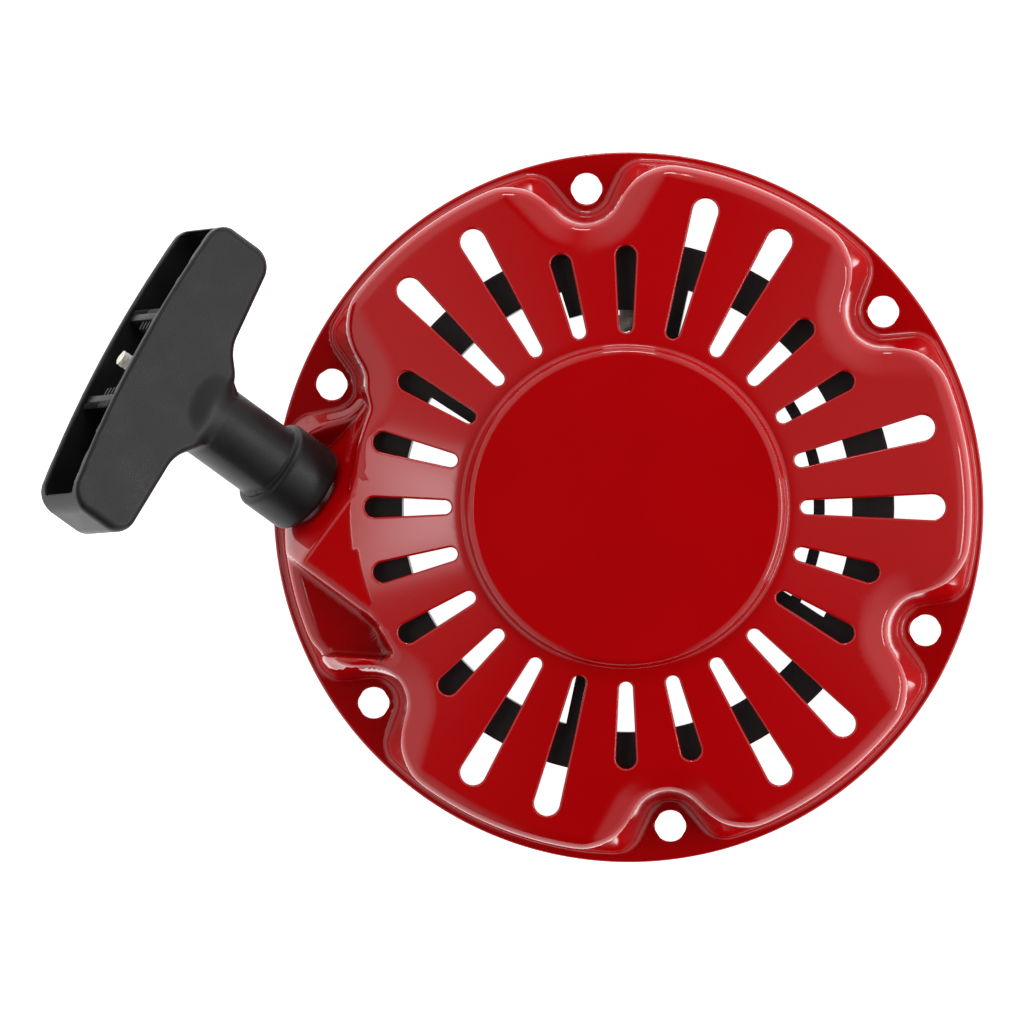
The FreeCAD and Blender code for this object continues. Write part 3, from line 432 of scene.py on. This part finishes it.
def cut_hole(sheet, centre, first_axis, second_axis, steps):
    """A round hole: its rounded edge, then triangles out to the faces left around it."""
    axes = np.array([first_axis, second_axis])
    lengths = np.linalg.norm(axes, axis=1)
    angles = np.linspace(0, 2 * math.pi, steps, endpoint=False)
    circle = np.stack([np.cos(angles), np.sin(angles)], axis=1)
    spots = centre + circle @ axes
    normals = circle @ (axes / max(lengths))
    loops = [sheet.ring(spots, normals, offset) for offset in LIP_RINGS]
    for inner, outer in zip(loops, loops[1:]):
        sheet.strip(inner, outer)
    ring = set(index for loop in loops for index in loop)
    flat = (np.array(sheet.points) - centre) @ np.linalg.inv(axes)
    near = np.linalg.norm(flat, axis=1) < 1 + 1.6 * LIP / min(lengths)
    removed, kept = [], []
    for face in sheet.faces:
        mine = face[0] in ring
        (removed if not mine and any(near[index] for index in face) else kept).append(face)
    sheet.faces = kept
    edges = {}
    for face in removed:
        for index, start in enumerate(face):
            edges[start, face[(index + 1) % len(face)]] = True
    border = {start: end for start, end in edges if (end, start) not in edges}
    loop = [next(iter(border))]
    while border[loop[-1]] != loop[0]:
        loop.append(border[loop[-1]])
    corners = loop + loops[-1]
    count, inner_count = len(loop), len(loops[-1])
    lines = [(index, (index + 1) % count) for index in range(count)]
    lines += [(count + index, count + (index + 1) % inner_count) for index in range(inner_count)]
    flat_corners = [Vector(sheet.points[index] - centre) for index in corners]
    triangles = delaunay_2d_cdt(flat_corners, lines, [list(range(count))], 1, 1e-9)[2]
    for triangle in triangles:
        middle = sum((np.array(flat_corners[index]) for index in triangle), np.zeros(2)) / 3
        if np.linalg.norm(middle @ np.linalg.inv(axes)) > 1:
            sheet.faces.append(tuple(corners[index] for index in triangle))


def flat_case():
    """The case seen flat: rays and stations, slots, bolt holes and the rope hole."""
    azimuths, firsts = ray_azimuths()
    directions, stations = ray_stations(azimuths, firsts)
    count = len(azimuths)
    sheet = Sheet()
    centre = sheet.add(np.zeros(2))
    ids = {}
    rim = stations.shape[1] - 1
    for sector in range(SLOT_COUNT):
        for ray in range(firsts[sector], firsts[sector + 1]):
            end = DISC_STEPS + SHORT_STEPS + (LONG_STEPS if sector in LONG_SLOTS else 0)
            for at in range(1, rim + 1):
                on_line = ray == firsts[sector]
                if DISC_STEPS < at < end and not on_line:
                    continue
                left = CASE_RADIUS - stations[ray, at]
                ids[ray, at] = sheet.add(directions[ray] * stations[ray, at], left, directions[ray])
    for sector in range(SLOT_COUNT):
        end = DISC_STEPS + SHORT_STEPS + (LONG_STEPS if sector in LONG_SLOTS else 0)
        rays = [ray % count for ray in range(firsts[sector], firsts[sector + 1] + 1)]
        for ray, after in zip(rays, rays[1:]):
            sheet.faces.append((centre, ids[ray, 1], ids[after, 1]))
            for at in range(1, rim):
                if not DISC_STEPS <= at < end:
                    sheet.faces.append((ids[ray, at], ids[ray, at + 1],
                                        ids[after, at + 1], ids[after, at]))
        mesh_slot(sheet, sector, rays, ids, stations)
    for azimuth in LUG_AZIMUTHS:
        cut_hole(sheet, unit(azimuth) * HOLE_CIRCLE, (HOLE_RADIUS, 0), (0, HOLE_RADIUS), HOLE_STEPS)
    ahead, side = unit(EXIT_AZIMUTH), unit(EXIT_AZIMUTH + 90)
    spot = ahead * EXIT_ALONG + side * EXIT_ACROSS
    foreshortened = ROPE_HOLE * math.sin(math.radians(EXIT_TILT))
    cut_hole(sheet, spot, ahead * foreshortened, side * ROPE_HOLE, ROPE_HOLE_STEPS)
    return sheet


def new_object(name, points, faces, scale=MM):
    """A mesh object in the scene, from points in millimetres unless the scale says otherwise."""
    mesh = bpy.data.meshes.new(name)
    mesh.from_pydata([tuple(point) for point in np.asarray(points) * scale], [], faces)
    mesh.validate()
    mesh.update()
    thing = bpy.data.objects.new(name, mesh)
    bpy.context.scene.collection.objects.link(thing)
    return thing


def pressed_case():
    """The pressed cover as a closed sheet with rounded edges and its true surface normals."""
    sheet = flat_case()
    flat = np.array(sheet.points)
    x, y = flat[:, 0], flat[:, 1]
    middle = np.stack([x, y, outer_height(x, y)], axis=1)
    upward = outer_normal(x, y)
    round_off = np.clip(LIP - np.array(sheet.lips), 0, LIP)
    drop = (LIP - np.sqrt(LIP ** 2 - round_off ** 2))[:, None]
    toward = np.array(sheet.toward)
    toward = np.stack([toward[:, 0], toward[:, 1], np.zeros(len(toward))], axis=1)
    toward -= upward * np.sum(toward * upward, axis=1, keepdims=True)
    toward /= np.linalg.norm(toward, axis=1, keepdims=True) + 1e-9
    lean = (round_off / LIP)[:, None]
    outside = middle - upward * drop
    inside = middle - upward * (SHEET - drop)
    normals_out = upward * np.sqrt(1 - lean ** 2) + toward * lean
    normals_in = -upward * np.sqrt(1 - lean ** 2) + toward * lean
    on_edge = np.array(sheet.lips) <= 1e-6
    count = len(flat)
    inner_id = np.where(on_edge, np.arange(count), np.arange(count) + count)
    faces = list(sheet.faces)
    faces += [tuple(int(inner_id[index]) for index in reversed(face)) for face in sheet.faces]
    used = np.zeros(2 * count, bool)
    for face in faces:
        used[list(face)] = True
    fresh = np.cumsum(used) - 1
    points = np.concatenate([outside, inside])[used]
    normals = np.concatenate([normals_out, normals_in])[used]
    faces = [tuple(int(fresh[index]) for index in face) for face in faces]
    case = new_object("pressed_case", points, faces)
    case.data.polygons.foreach_set("use_smooth", [True] * len(case.data.polygons))
    case.data.normals_split_custom_set_from_vertices([tuple(normal) for normal in normals])
    return case


# ---------------------------------------------------------------- materials

def add_node(tree, kind, **settings):
    """A shader node with its sockets or properties set."""
    node = tree.nodes.new(kind)
    for name, value in settings.items():
        if name in node.inputs:
            node.inputs[name].default_value = value
        else:
            setattr(node, name, value)
    return node


def ramp(tree, source, stops):
    """A colour ramp fed by a value; stops are (position, colour)."""
    stops = list(stops)
    node = tree.nodes.new("ShaderNodeValToRGB")
    tree.links.new(source, node.inputs["Fac"])
    elements = node.color_ramp.elements
    while len(elements) < len(stops):
        elements.new(0.5)
    for element, (position, colour) in zip(elements, stops):
        element.position = position
        element.color = (*colour, 1)
    return node.outputs["Color"]


MOTTLE = (0.3, 0.7)


def material(name, colours, scale, roughness, grain=(400, 0.1, 0.00005), stretch=(1, 1, 1), **surface):
    """Colour and roughness mottled by noise at one scale, and a fine grain as a bump."""
    made = bpy.data.materials.new(name)
    made.use_nodes = True
    tree = made.node_tree
    shader = tree.nodes["Principled BSDF"]
    spot = add_node(tree, "ShaderNodeTexCoord").outputs["Object"]
    mapping = add_node(tree, "ShaderNodeMapping", Scale=stretch)
    tree.links.new(spot, mapping.inputs["Vector"])
    mottle = add_node(tree, "ShaderNodeTexNoise", Scale=scale, Detail=4.0, Roughness=0.55)
    tree.links.new(mapping.outputs["Vector"], mottle.inputs["Vector"])
    tree.links.new(ramp(tree, mottle.outputs["Fac"], zip(MOTTLE, colours)), shader.inputs["Base Color"])
    sheen = add_node(tree, "ShaderNodeMapRange")
    for socket, value in zip(("From Min", "From Max", "To Min", "To Max"), (*MOTTLE, *roughness)):
        sheen.inputs[socket].default_value = value
    tree.links.new(mottle.outputs["Fac"], sheen.inputs["Value"])
    tree.links.new(sheen.outputs["Result"], shader.inputs["Roughness"])
    fine = add_node(tree, "ShaderNodeTexNoise", Scale=grain[0], Detail=3.0)
    tree.links.new(mapping.outputs["Vector"], fine.inputs["Vector"])
    bump = add_node(tree, "ShaderNodeBump", Strength=grain[1], Distance=grain[2])
    tree.links.new(fine.outputs["Fac"], bump.inputs["Height"])
    tree.links.new(bump.outputs["Normal"], shader.inputs["Normal"])
    for socket, value in surface.items():
        shader.inputs[socket.replace("_", " ")].default_value = value
    return made


PAINT = material("red_paint", [(0.365, 0.0004, 0.0013), (0.405, 0.0006, 0.002)], 18, (0.30, 0.36),
                 grain=(160, 0.12, 0.0001), Coat_Weight=1.0, Coat_Roughness=0.07,
                 Specular_IOR_Level=0.0)
HANDLE_PLASTIC = material("grip_plastic", [(0.006, 0.0062, 0.0064), (0.0105, 0.0108, 0.011)], 90,
                          (0.34, 0.45), grain=(2600, 0.5, 0.00008), Specular_IOR_Level=0.24)
REEL_PLASTIC = material("reel_plastic", [(0.009, 0.009, 0.0095), (0.016, 0.016, 0.017)], 60,
                        (0.30, 0.42), grain=(900, 0.2, 0.0001))
GUIDE_PLASTIC = material("guide_plastic", [(0.03, 0.031, 0.034), (0.05, 0.051, 0.056)], 70,
                         (0.36, 0.5), grain=(1100, 0.25, 0.0001))
ZINC = material("zinc_plate", [(0.52, 0.52, 0.54), (0.66, 0.66, 0.66)], 140, (0.2, 0.36),
                grain=(700, 0.15, 0.00005), Metallic=1.0)
YELLOW_ZINC = material("yellow_zinc_plate", [(0.55, 0.47, 0.28), (0.66, 0.6, 0.45)], 160, (0.22, 0.38),
                       grain=(700, 0.15, 0.00005), Metallic=1.0)
TURNED_STEEL = material("turned_steel", [(0.42, 0.42, 0.44), (0.58, 0.58, 0.6)], 120, (0.24, 0.42),
                        grain=(900, 0.3, 0.00006), stretch=(1, 1, 14), Metallic=1.0)
SPRING_WIRE = material("spring_wire", [(0.3, 0.3, 0.31), (0.44, 0.44, 0.46)], 200, (0.24, 0.38),
                       grain=(1500, 0.2, 0.00004), Metallic=1.0)
SPRING_STRIP = material("spring_strip", [(0.13, 0.15, 0.21), (0.24, 0.25, 0.3)], 90, (0.22, 0.4),
                        grain=(900, 0.2, 0.00004), stretch=(1, 1, 6), Metallic=1.0)
SINTERED = material("sintered_steel", [(0.3, 0.29, 0.28), (0.42, 0.41, 0.4)], 300, (0.42, 0.6),
                    grain=(1600, 0.5, 0.00008), Metallic=1.0)
ROPE_FIBRE = material("rope_fibre", [(0.6, 0.57, 0.48), (0.78, 0.76, 0.69)], 700, (0.62, 0.8),
                      grain=(2600, 0.8, 0.00015), Sheen_Weight=0.4)
FLOOR = material("floor", [(0.90, 0.90, 0.905), (0.93, 0.93, 0.935)], 3, (0.75, 0.85),
                 grain=(40, 0.02, 0.0001), Emission_Color=(1, 1, 1, 1), Emission_Strength=1.0)


def dress(thing, finish):
    """Give a piece one material."""
    thing.data.materials.clear()
    thing.data.materials.append(finish)
    return thing


def shade_smooth(thing, angle=35):
    """Smooth shading, with edges sharper than the angle kept sharp."""
    thing.data.polygons.foreach_set("use_smooth", [True] * len(thing.data.polygons))
    thing.data.set_sharp_from_angle(angle=math.radians(angle))


# ---------------------------------------------------------------- smooth solids from distance fields

def round_max(first, second, radius):
    """Distance to what two solids share, its edge rounded."""
    outside = np.hypot(np.maximum(first + radius, 0), np.maximum(second + radius, 0))
    return np.minimum(np.maximum(first, second), -radius) + outside


def round_min(first, second, radius):
    """Distance to two solids joined, the corner between them filleted."""
    return -round_max(-first, -second, radius)


def field_normal(field, points, step=0.02):
    """The gradient of a distance field."""
    slopes = []
    for axis in range(3):
        offset = np.zeros(3)
        offset[axis] = step
        slopes.append(field(points + offset) - field(points - offset))
    return np.stack(slopes, axis=1) / (2 * step)


def settle(thing, field, voxel, rounds=8, longest_step=0.6):
    """Remesh a closed mesh evenly and lay its points on the field's surface, normals included."""
    remesh = thing.modifiers.new("even", "REMESH")
    remesh.mode = "VOXEL"
    remesh.voxel_size = voxel * MM
    graph = bpy.context.evaluated_depsgraph_get()
    even = bpy.data.meshes.new_from_object(thing.evaluated_get(graph))
    thing.modifiers.clear()
    points = np.empty(3 * len(even.vertices))
    even.vertices.foreach_get("co", points)
    points = points.reshape(-1, 3) / MM
    for _ in range(rounds):
        slopes = field_normal(field, points)
        steps = field(points) / np.maximum(np.sum(slopes ** 2, axis=1), 0.05)
        points -= np.clip(steps, -longest_step, longest_step)[:, None] * slopes
    normals = field_normal(field, points)
    normals /= np.linalg.norm(normals, axis=1, keepdims=True) + 1e-9
    even.vertices.foreach_set("co", (points * MM).ravel())
    even.polygons.foreach_set("use_smooth", [True] * len(even.polygons))
    even.update()
    even.normals_split_custom_set_from_vertices([tuple(normal) for normal in normals])
    even.name = thing.name
    thing.data = even
    return thing


def bars(name, boxes, rounding):
    """Boxes with rounded edges in one mesh; each is (centre, size)."""
    merged = bmesh.new()
    for centre, size in boxes:
        scaled = Matrix.Diagonal((*[length * MM for length in size], 1))
        made = bmesh.ops.create_cube(merged, size=1,
                                     matrix=Matrix.Translation(Vector(centre) * MM) @ scaled)
        edges = {edge for corner in made["verts"] for edge in corner.link_edges}
        bmesh.ops.bevel(merged, geom=list(edges), offset=rounding * MM, segments=3,
                        affect="EDGES", profile=0.5)
    mesh = bpy.data.meshes.new(name)
    merged.to_mesh(mesh)
    merged.free()
    thing = bpy.data.objects.new(name, mesh)
    bpy.context.scene.collection.objects.link(thing)
    shade_smooth(thing)
    return thing


# ---------------------------------------------------------------- the handle

OUTWARD = np.array(joints["handle_pull"]["axis"])
HANDLE_ROLL = 20.7
EXIT_HEIGHT = (float(cone_face(np.array(WAIST_RADIUS)))
               - (EXIT_ALONG - RIDGE_ALONG) / math.tan(math.radians(EXIT_TILT)))
HANDLE_VOXEL = 0.7
GUIDE_RIM = 1.4
HANDLE_GAP = 0.4
EYELET = np.append(unit(EXIT_AZIMUTH) * EXIT_ALONG + unit(EXIT_AZIMUTH + 90) * EXIT_ACROSS, EXIT_HEIGHT)
COLLAR_END = EYELET + OUTWARD * (GUIDE_RIM + HANDLE_GAP)
BAR_HALF = 45.5
BAR_THICK = 20.5
BAR_ROOT = 43.3
BAR_LEAN = 3.3
BAR_TOP = 69.3
BAR_CROWN = 3.2
BAR_CORNER = 6.0
TEE_HEIGHT = 12.0
TEE_FILLET = 10.0
SLAB_DROP = 5.0
SLAB_BEND = 4.0
STEM = 11.0
STEM_TOP = 4.0
STEM_ROUND = 5.0
COLLAR = 12.9
COLLAR_LENGTH = 14.5
COLLAR_EDGE = 1.6
BAR_EDGE = 2.4
RIM_EDGE = 0.7
RIM_START = 60.0
RIM_FADE = 6.0
POCKET_FLOOR = 50.0
POCKET_TUCK = 8.0
WALL = 2.5
ROPE = 4.5
RIB_AT = 13.2
RIB = 2.2
RIB_INSET = 1.5
RIB_BITE = 0.5
TOOTH = (0.9, 3.0)
TOOTH_COUNT = 5
TOOTH_PITCH = 1.75
TOOTH_FIRST = -6.3
TOOTH_DROP = 0.6


def handle_field(points):
    """Distance to the grip in its own frame: Z along the pull, the bar along Y, its face at -X."""
    x, y, z = points.T
    half_thick = BAR_THICK / 2
    lean = math.radians(BAR_LEAN)
    under = (BAR_ROOT + np.abs(y) * math.tan(lean) - z) * math.cos(lean)
    crown = z - BAR_TOP + BAR_CROWN * (y / BAR_HALF) ** 2
    bar = round_max(round_max(np.abs(y) - BAR_HALF, under, BAR_CORNER), crown, BAR_CORNER)
    tee = round_min(bar, np.maximum(np.abs(y) - STEM, z - BAR_ROOT - TEE_HEIGHT), TEE_FILLET)
    around = np.hypot(x, y)
    slab = round_max(np.abs(x) - half_thick, BAR_ROOT - SLAB_DROP - z, SLAB_BEND)
    column = round_max(around - STEM, z - BAR_ROOT - STEM_TOP, STEM_ROUND)
    edge = BAR_EDGE + (RIM_EDGE - BAR_EDGE) * np.clip((z - RIM_START) / RIM_FADE, 0, 1)
    grip = np.maximum(round_max(tee, round_min(slab, column, 3.0), edge), -z)
    half_collar = COLLAR_LENGTH / 2
    collar = round_max(around - COLLAR, np.abs(z - half_collar) - half_collar, COLLAR_EDGE)
    grip = round_min(grip, collar, 0.8)
    tuck = np.clip(z - BAR_TOP + BAR_CORNER, 0, POCKET_TUCK) ** 2 / POCKET_TUCK
    pocket = round_max(np.abs(x) - half_thick + WALL, np.abs(y) - BAR_HALF + WALL + tuck, 2.0)
    pocket = round_max(pocket, POCKET_FLOOR - z, 1.5)
    grip = round_max(grip, -pocket, 0.5)
    return round_max(grip, ROPE / 2 + 0.5 - around, 0.6)


def handle_frame():
    """Where the grip's own frame is: its origin at the collar's end, Z along the pull."""
    turn = (Matrix.Rotation(math.radians(EXIT_AZIMUTH), 4, "Z")
            @ Matrix.Rotation(math.radians(90 - EXIT_TILT), 4, "Y")
            @ Matrix.Rotation(math.radians(HANDLE_ROLL), 4, "Z"))
    return Matrix.Translation(Vector(COLLAR_END) * MM) @ turn


def grip():
    """The T-shaped grip with its ribs and the combs of teeth beside the knot."""
    source = frame["nodes"]["handle"]
    thing = bpy.data.objects.new("grip", source.data.copy())
    bpy.context.scene.collection.objects.link(thing)
    thing.data.transform(handle_frame().inverted())
    settle(thing, handle_field, HANDLE_VOXEL)
    thing.matrix_world = handle_frame()
    depth = BAR_TOP - RIB_INSET - POCKET_FLOOR
    middle = POCKET_FLOOR + depth / 2
    boxes = []
    for side in (-1, 1):
        boxes.append(((0, side * RIB_AT, middle), (BAR_THICK - 2 * WALL + 2 * RIB_BITE, RIB, depth)))
        for tooth in range(TOOTH_COUNT):
            along_rib = TOOTH_FIRST + tooth * TOOTH_PITCH
            spot = (along_rib, side * (RIB_AT - RIB / 2 - 1.2), middle - TOOTH_DROP / 2)
            boxes.append((spot, (*TOOTH, depth - TOOTH_DROP)))
    ribs = bars("grip_ribs", boxes, 0.3)
    ribs.matrix_world = handle_frame()
    return thing, ribs


# ---------------------------------------------------------------- the rope

def tube(name, path, radius, around=20, closed=False, braid=0.09, lay=7.5):
    """A braided rope along a path: two sets of strands wind round it and over each other."""
    path = np.asarray(path, float)
    ends = (np.roll(path, -1, axis=0), np.roll(path, 1, axis=0))
    ahead = ends[0] - ends[1]
    if not closed:
        ahead[0], ahead[-1] = path[1] - path[0], path[-1] - path[-2]
    ahead /= np.linalg.norm(ahead, axis=1, keepdims=True)
    gaps = np.linalg.norm(np.diff(path, axis=0), axis=1)
    travel = np.concatenate([[0], np.cumsum(gaps)])
    if closed:
        loop = travel[-1] + np.linalg.norm(path[0] - path[-1])
        lay = loop / round(loop / lay)
    side = np.cross(ahead[0], [0.3, 0.2, 0.93])
    side /= np.linalg.norm(side)
    points = []
    angles = np.linspace(0, 2 * math.pi, around, endpoint=False)
    for at, spot in enumerate(path):
        side = side - ahead[at] * (side @ ahead[at])
        side /= np.linalg.norm(side)
        other = np.cross(ahead[at], side)
        turn = 2 * math.pi * travel[at] / lay
        forward = np.cos(4 * (angles + turn))
        backward = np.cos(4 * (angles - turn))
        swell = radius * (1 - braid + braid * np.maximum(forward, backward))
        points += list(spot + np.cos(angles)[:, None] * side * swell[:, None]
                       + np.sin(angles)[:, None] * other * swell[:, None])
    faces = []
    rings = len(path)
    for at in range(rings if closed else rings - 1):
        after = (at + 1) % rings
        for index in range(around):
            turn = (index + 1) % around
            faces.append((at * around + index, at * around + turn,
                          after * around + turn, after * around + index))
    if not closed:
        faces.append(tuple(range(around - 1, -1, -1)))
        faces.append(tuple((rings - 1) * around + index for index in range(around)))
    thing = new_object(name, points, faces)
    shade_smooth(thing, 60)
    return dress(thing, ROPE_FIBRE)


def join(name, things):
    """Several mesh objects as one."""
    merged = bmesh.new()
    for thing in things:
        copy = thing.data.copy()
        copy.transform(thing.matrix_world)
        merged.from_mesh(copy)
        bpy.data.meshes.remove(copy)
    finish = things[0].data.materials[0] if things[0].data.materials else None
    for thing in things:
        bpy.data.objects.remove(thing)
    mesh = bpy.data.meshes.new(name)
    merged.to_mesh(mesh)
    merged.free()
    whole = bpy.data.objects.new(name, mesh)
    bpy.context.scene.collection.objects.link(whole)
    if finish:
        mesh.materials.append(finish)
    return whole


def knot_path(centre, along, size, steps=150):
    """An overhand knot pulled tight: a closed trefoil with its axis along the rope."""
    along = np.asarray(along, float) / np.linalg.norm(along)
    side = np.cross(along, [0.1, 0.3, 0.9])
    side /= np.linalg.norm(side)
    other = np.cross(along, side)
    t = np.linspace(0, 2 * math.pi, steps, endpoint=False)
    a = np.sin(t) + 2 * np.sin(2 * t)
    b = np.cos(t) - 2 * np.cos(2 * t)
    c = -np.sin(3 * t)
    curve = a[:, None] * side + b[:, None] * other + 1.5 * c[:, None] * along
    return np.asarray(centre) + curve * size / 3


REEL_ROOT = 63.5
ROPE_LAYER = 4.6
ROPE_COLUMN = 5.2
GROOVE_MIDDLE = 13.0
TURN_SPACING = 1.3
PATH_SPACING = 0.8
EXIT_BEND = 8.0
KNOT_AZIMUTH = 90.0
KNOT_BLOCK = 54.0
INNER_KNOT_DEPTH = 3.6
INNER_TAIL = 12.6
OUTER_KNOT_RISE = 6.0
OUTER_STUB = 11.8
OUTER_STUB_LEAN = 1.5


def wound_rope():
    """The rope's turns in the reel's groove, two layers of two."""
    rings = []
    for layer in range(2):
        for column in (-0.5, 0.5):
            radius = REEL_ROOT + ROPE / 2 + ROPE_LAYER * layer
            count = int(2 * math.pi * radius / TURN_SPACING)
            angles = np.linspace(0, 2 * math.pi, count, endpoint=False)
            path = np.stack([radius * np.cos(angles), radius * np.sin(angles),
                             np.full(count, GROOVE_MIDDLE + ROPE_COLUMN * column)], axis=1)
            rings.append(tube("turn", path, ROPE / 2, 12, closed=True))
    return join("wound_rope", rings)


def pull_rope():
    """The rope from the outer turn through the eyelet and the grip's stem to its knot."""
    radius = REEL_ROOT + ROPE / 2 + ROPE_LAYER
    corner = EYELET - OUTWARD * SHEET
    leave = math.atan2(corner[1], corner[0]) + math.acos(radius / math.hypot(corner[0], corner[1]))
    start = np.array([radius * math.cos(leave), radius * math.sin(leave), GROOVE_MIDDLE])
    inward = (corner - start) / np.linalg.norm(corner - start)
    turn = math.acos(inward @ OUTWARD)
    trim = EXIT_BEND * math.tan(turn / 2)
    first, last = corner - inward * trim, corner + OUTWARD * trim
    path = [start + (first - start) * share for share in np.linspace(0, 1, 26)]
    path += [first * (1 - share) ** 2 + corner * 2 * share * (1 - share) + last * share ** 2
             for share in np.linspace(0, 1, 14)[1:]]
    end = COLLAR_END + OUTWARD * (POCKET_FLOOR + 2)
    steps = int(np.linalg.norm(end - last) / PATH_SPACING)
    path += [last + (end - last) * share for share in np.linspace(0, 1, steps)[1:]]
    return tube("pull_rope", path, ROPE / 2 - 0.05)


def knots():
    """The knot behind the reel's rope hole, and the one on the floor of the grip's pocket."""
    ahead = np.append(unit(KNOT_AZIMUTH), 0)
    inner_at = np.append(unit(KNOT_AZIMUTH) * (KNOT_BLOCK - INNER_KNOT_DEPTH), GROOVE_MIDDLE)
    inner = tube("inner_knot_turns", knot_path(inner_at, ahead, 2.0), 1.5, 14, closed=True, lay=4)
    tail_path = [inner_at + ahead * step for step in np.arange(0, INNER_TAIL, PATH_SPACING)]
    inner = join("inner_knot", [inner, tube("inner_knot_tail", tail_path, ROPE / 2)])
    outer_at = COLLAR_END + OUTWARD * (POCKET_FLOOR + OUTER_KNOT_RISE)
    outer = tube("outer_knot_turns", knot_path(outer_at, OUTWARD, 3.4), 2.1, 16, closed=True, lay=6)
    inward = np.array(handle_frame().to_3x3() @ Vector((1, 0, 0)))
    stub_end = inward * OUTER_STUB_LEAN + OUTWARD * OUTER_STUB
    stub = tube("outer_knot_stub", [outer_at + stub_end * share for share in np.linspace(0, 1, 24)],
                ROPE / 2 - 0.1, lay=6)
    return inner, join("outer_knot", [outer, stub])


# ---------------------------------------------------------------- put it together

case = dress(pressed_case(), PAINT)
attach(case, "case")
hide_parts("starter_case")

handle, handle_ribs = grip()
for piece in (handle, handle_ribs):
    dress(piece, HANDLE_PLASTIC)
    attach(piece, "handle_group")
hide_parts("handle")

turns = wound_rope()
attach(turns, "reel_group")
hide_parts("rope_turns")

rope = pull_rope()
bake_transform(rope)
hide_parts("rope_run", "rope_in_handle")

inner_knot, outer_knot = knots()
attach(inner_knot, "reel_group")
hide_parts("rope_knot_reel")
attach(outer_knot, "handle_group")
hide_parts("rope_knot_handle")

CAD_FINISHES = {
    "rope_guide": ZINC, "centre_post": TURNED_STEEL, "setting_screw": YELLOW_ZINC,
    "friction_spring": SPRING_WIRE, "mainspring": SPRING_STRIP, "reel": REEL_PLASTIC,
    "ratchet_a": SINTERED, "ratchet_b": SINTERED, "ratchet_spring_a": SPRING_WIRE,
    "ratchet_spring_b": SPRING_WIRE, "ratchet_guide": GUIDE_PLASTIC,
}
for node, finish in CAD_FINISHES.items():
    dress(frame["nodes"][node], finish)


# ---------------------------------------------------------------- floor, light and camera

FLOOR_HALF = 3.0
FLOOR_DROP = 0.0006
SKY_STOPS = [(0.0, 0.015), (0.1, 0.06), (0.24, 0.55), (0.5, 1.0)]
SKY_LEAN = 0.22
SKY_STRENGTH = 1.1
NEAR_BOX = (-0.32, 0, 1.3)
NEAR_BOX_GLOW = 6.0
CAMERA_PLACE = (0.0838, -0.0013, 4.0)
CAMERA_TARGET = (-0.032, -0.0013, 0)
CAMERA_LENS = 512.3
ORIGIN = (0, 0, 0)


def stage_floor():
    """A pale floor just under the flange."""
    corners = [(-1, -1), (1, -1), (1, 1), (-1, 1)]
    points = [(x * FLOOR_HALF, y * FLOOR_HALF, -FLOOR_DROP) for x, y in corners]
    dress(new_object("floor", points, [(0, 1, 2, 3)], scale=1), FLOOR)


def aim(thing, place, target):
    """Put a camera or light at a place, looking at a target with +Y upwards in its view."""
    ahead = (Vector(target) - Vector(place)).normalized()
    right = ahead.cross(Vector((0, 1, 0))).normalized()
    rows = Matrix((right, right.cross(ahead), -ahead)).transposed()
    thing.matrix_world = Matrix.Translation(Vector(place)) @ rows.to_4x4()


def panel(name, place, size, power):
    """A rectangular light that faces the starter."""
    light = bpy.data.lights.new(name, "AREA")
    light.shape = "RECTANGLE"
    light.size, light.size_y = size
    light.energy = power
    thing = bpy.data.objects.new(name, light)
    bpy.context.scene.collection.objects.link(thing)
    aim(thing, place, ORIGIN)


def sky():
    """A soft tent, white at both sides and dark in a band overhead, where the camera looks in."""
    world = bpy.data.worlds.new("studio")
    bpy.context.scene.world = world
    world.use_nodes = True
    tree = world.node_tree
    heading = add_node(tree, "ShaderNodeTexCoord").outputs["Generated"]
    split = add_node(tree, "ShaderNodeSeparateXYZ")
    tree.links.new(heading, split.inputs["Vector"])
    aside = add_node(tree, "ShaderNodeMath", operation="ABSOLUTE")
    tree.links.new(split.outputs["X"], aside.inputs[0])
    lift = add_node(tree, "ShaderNodeMath", operation="MULTIPLY_ADD")
    tree.links.new(split.outputs["Y"], lift.inputs[0])
    lift.inputs[1].default_value = SKY_LEAN
    tree.links.new(aside.outputs["Value"], lift.inputs[2])
    glow = ramp(tree, lift.outputs["Value"], [(place, (grey,) * 3) for place, grey in SKY_STOPS])
    tree.links.new(glow, tree.nodes["Background"].inputs["Color"])
    tree.nodes["Background"].inputs["Strength"].default_value = SKY_STRENGTH


def studio():
    """The sky, the light panels and the camera."""
    sky()
    panel("top_strip", (0.0, 1.5, 0.75), (0.5, 0.3), 6)
    panel("right_strip", (1.4, -0.22, 0.7), (0.25, 1.0), 8)
    for index, size in enumerate([(0.02, 0.10), (0.045, 0.15), (0.07, 0.20)]):
        place = (NEAR_BOX[0], NEAR_BOX[1], NEAR_BOX[2] + 0.005 * index)
        panel(f"near_left_box_{index}", place, size, NEAR_BOX_GLOW * size[0] * size[1])
    camera = bpy.data.cameras.new("camera")
    camera.lens = CAMERA_LENS
    camera.sensor_width = 36
    camera.clip_start = 0.05
    camera.clip_end = 30
    thing = bpy.data.objects.new("camera", camera)
    bpy.context.scene.collection.objects.link(thing)
    bpy.context.scene.camera = thing
    aim(thing, CAMERA_PLACE, CAMERA_TARGET)
    bpy.context.scene.view_settings.view_transform = "Standard"


stage_floor()
studio()
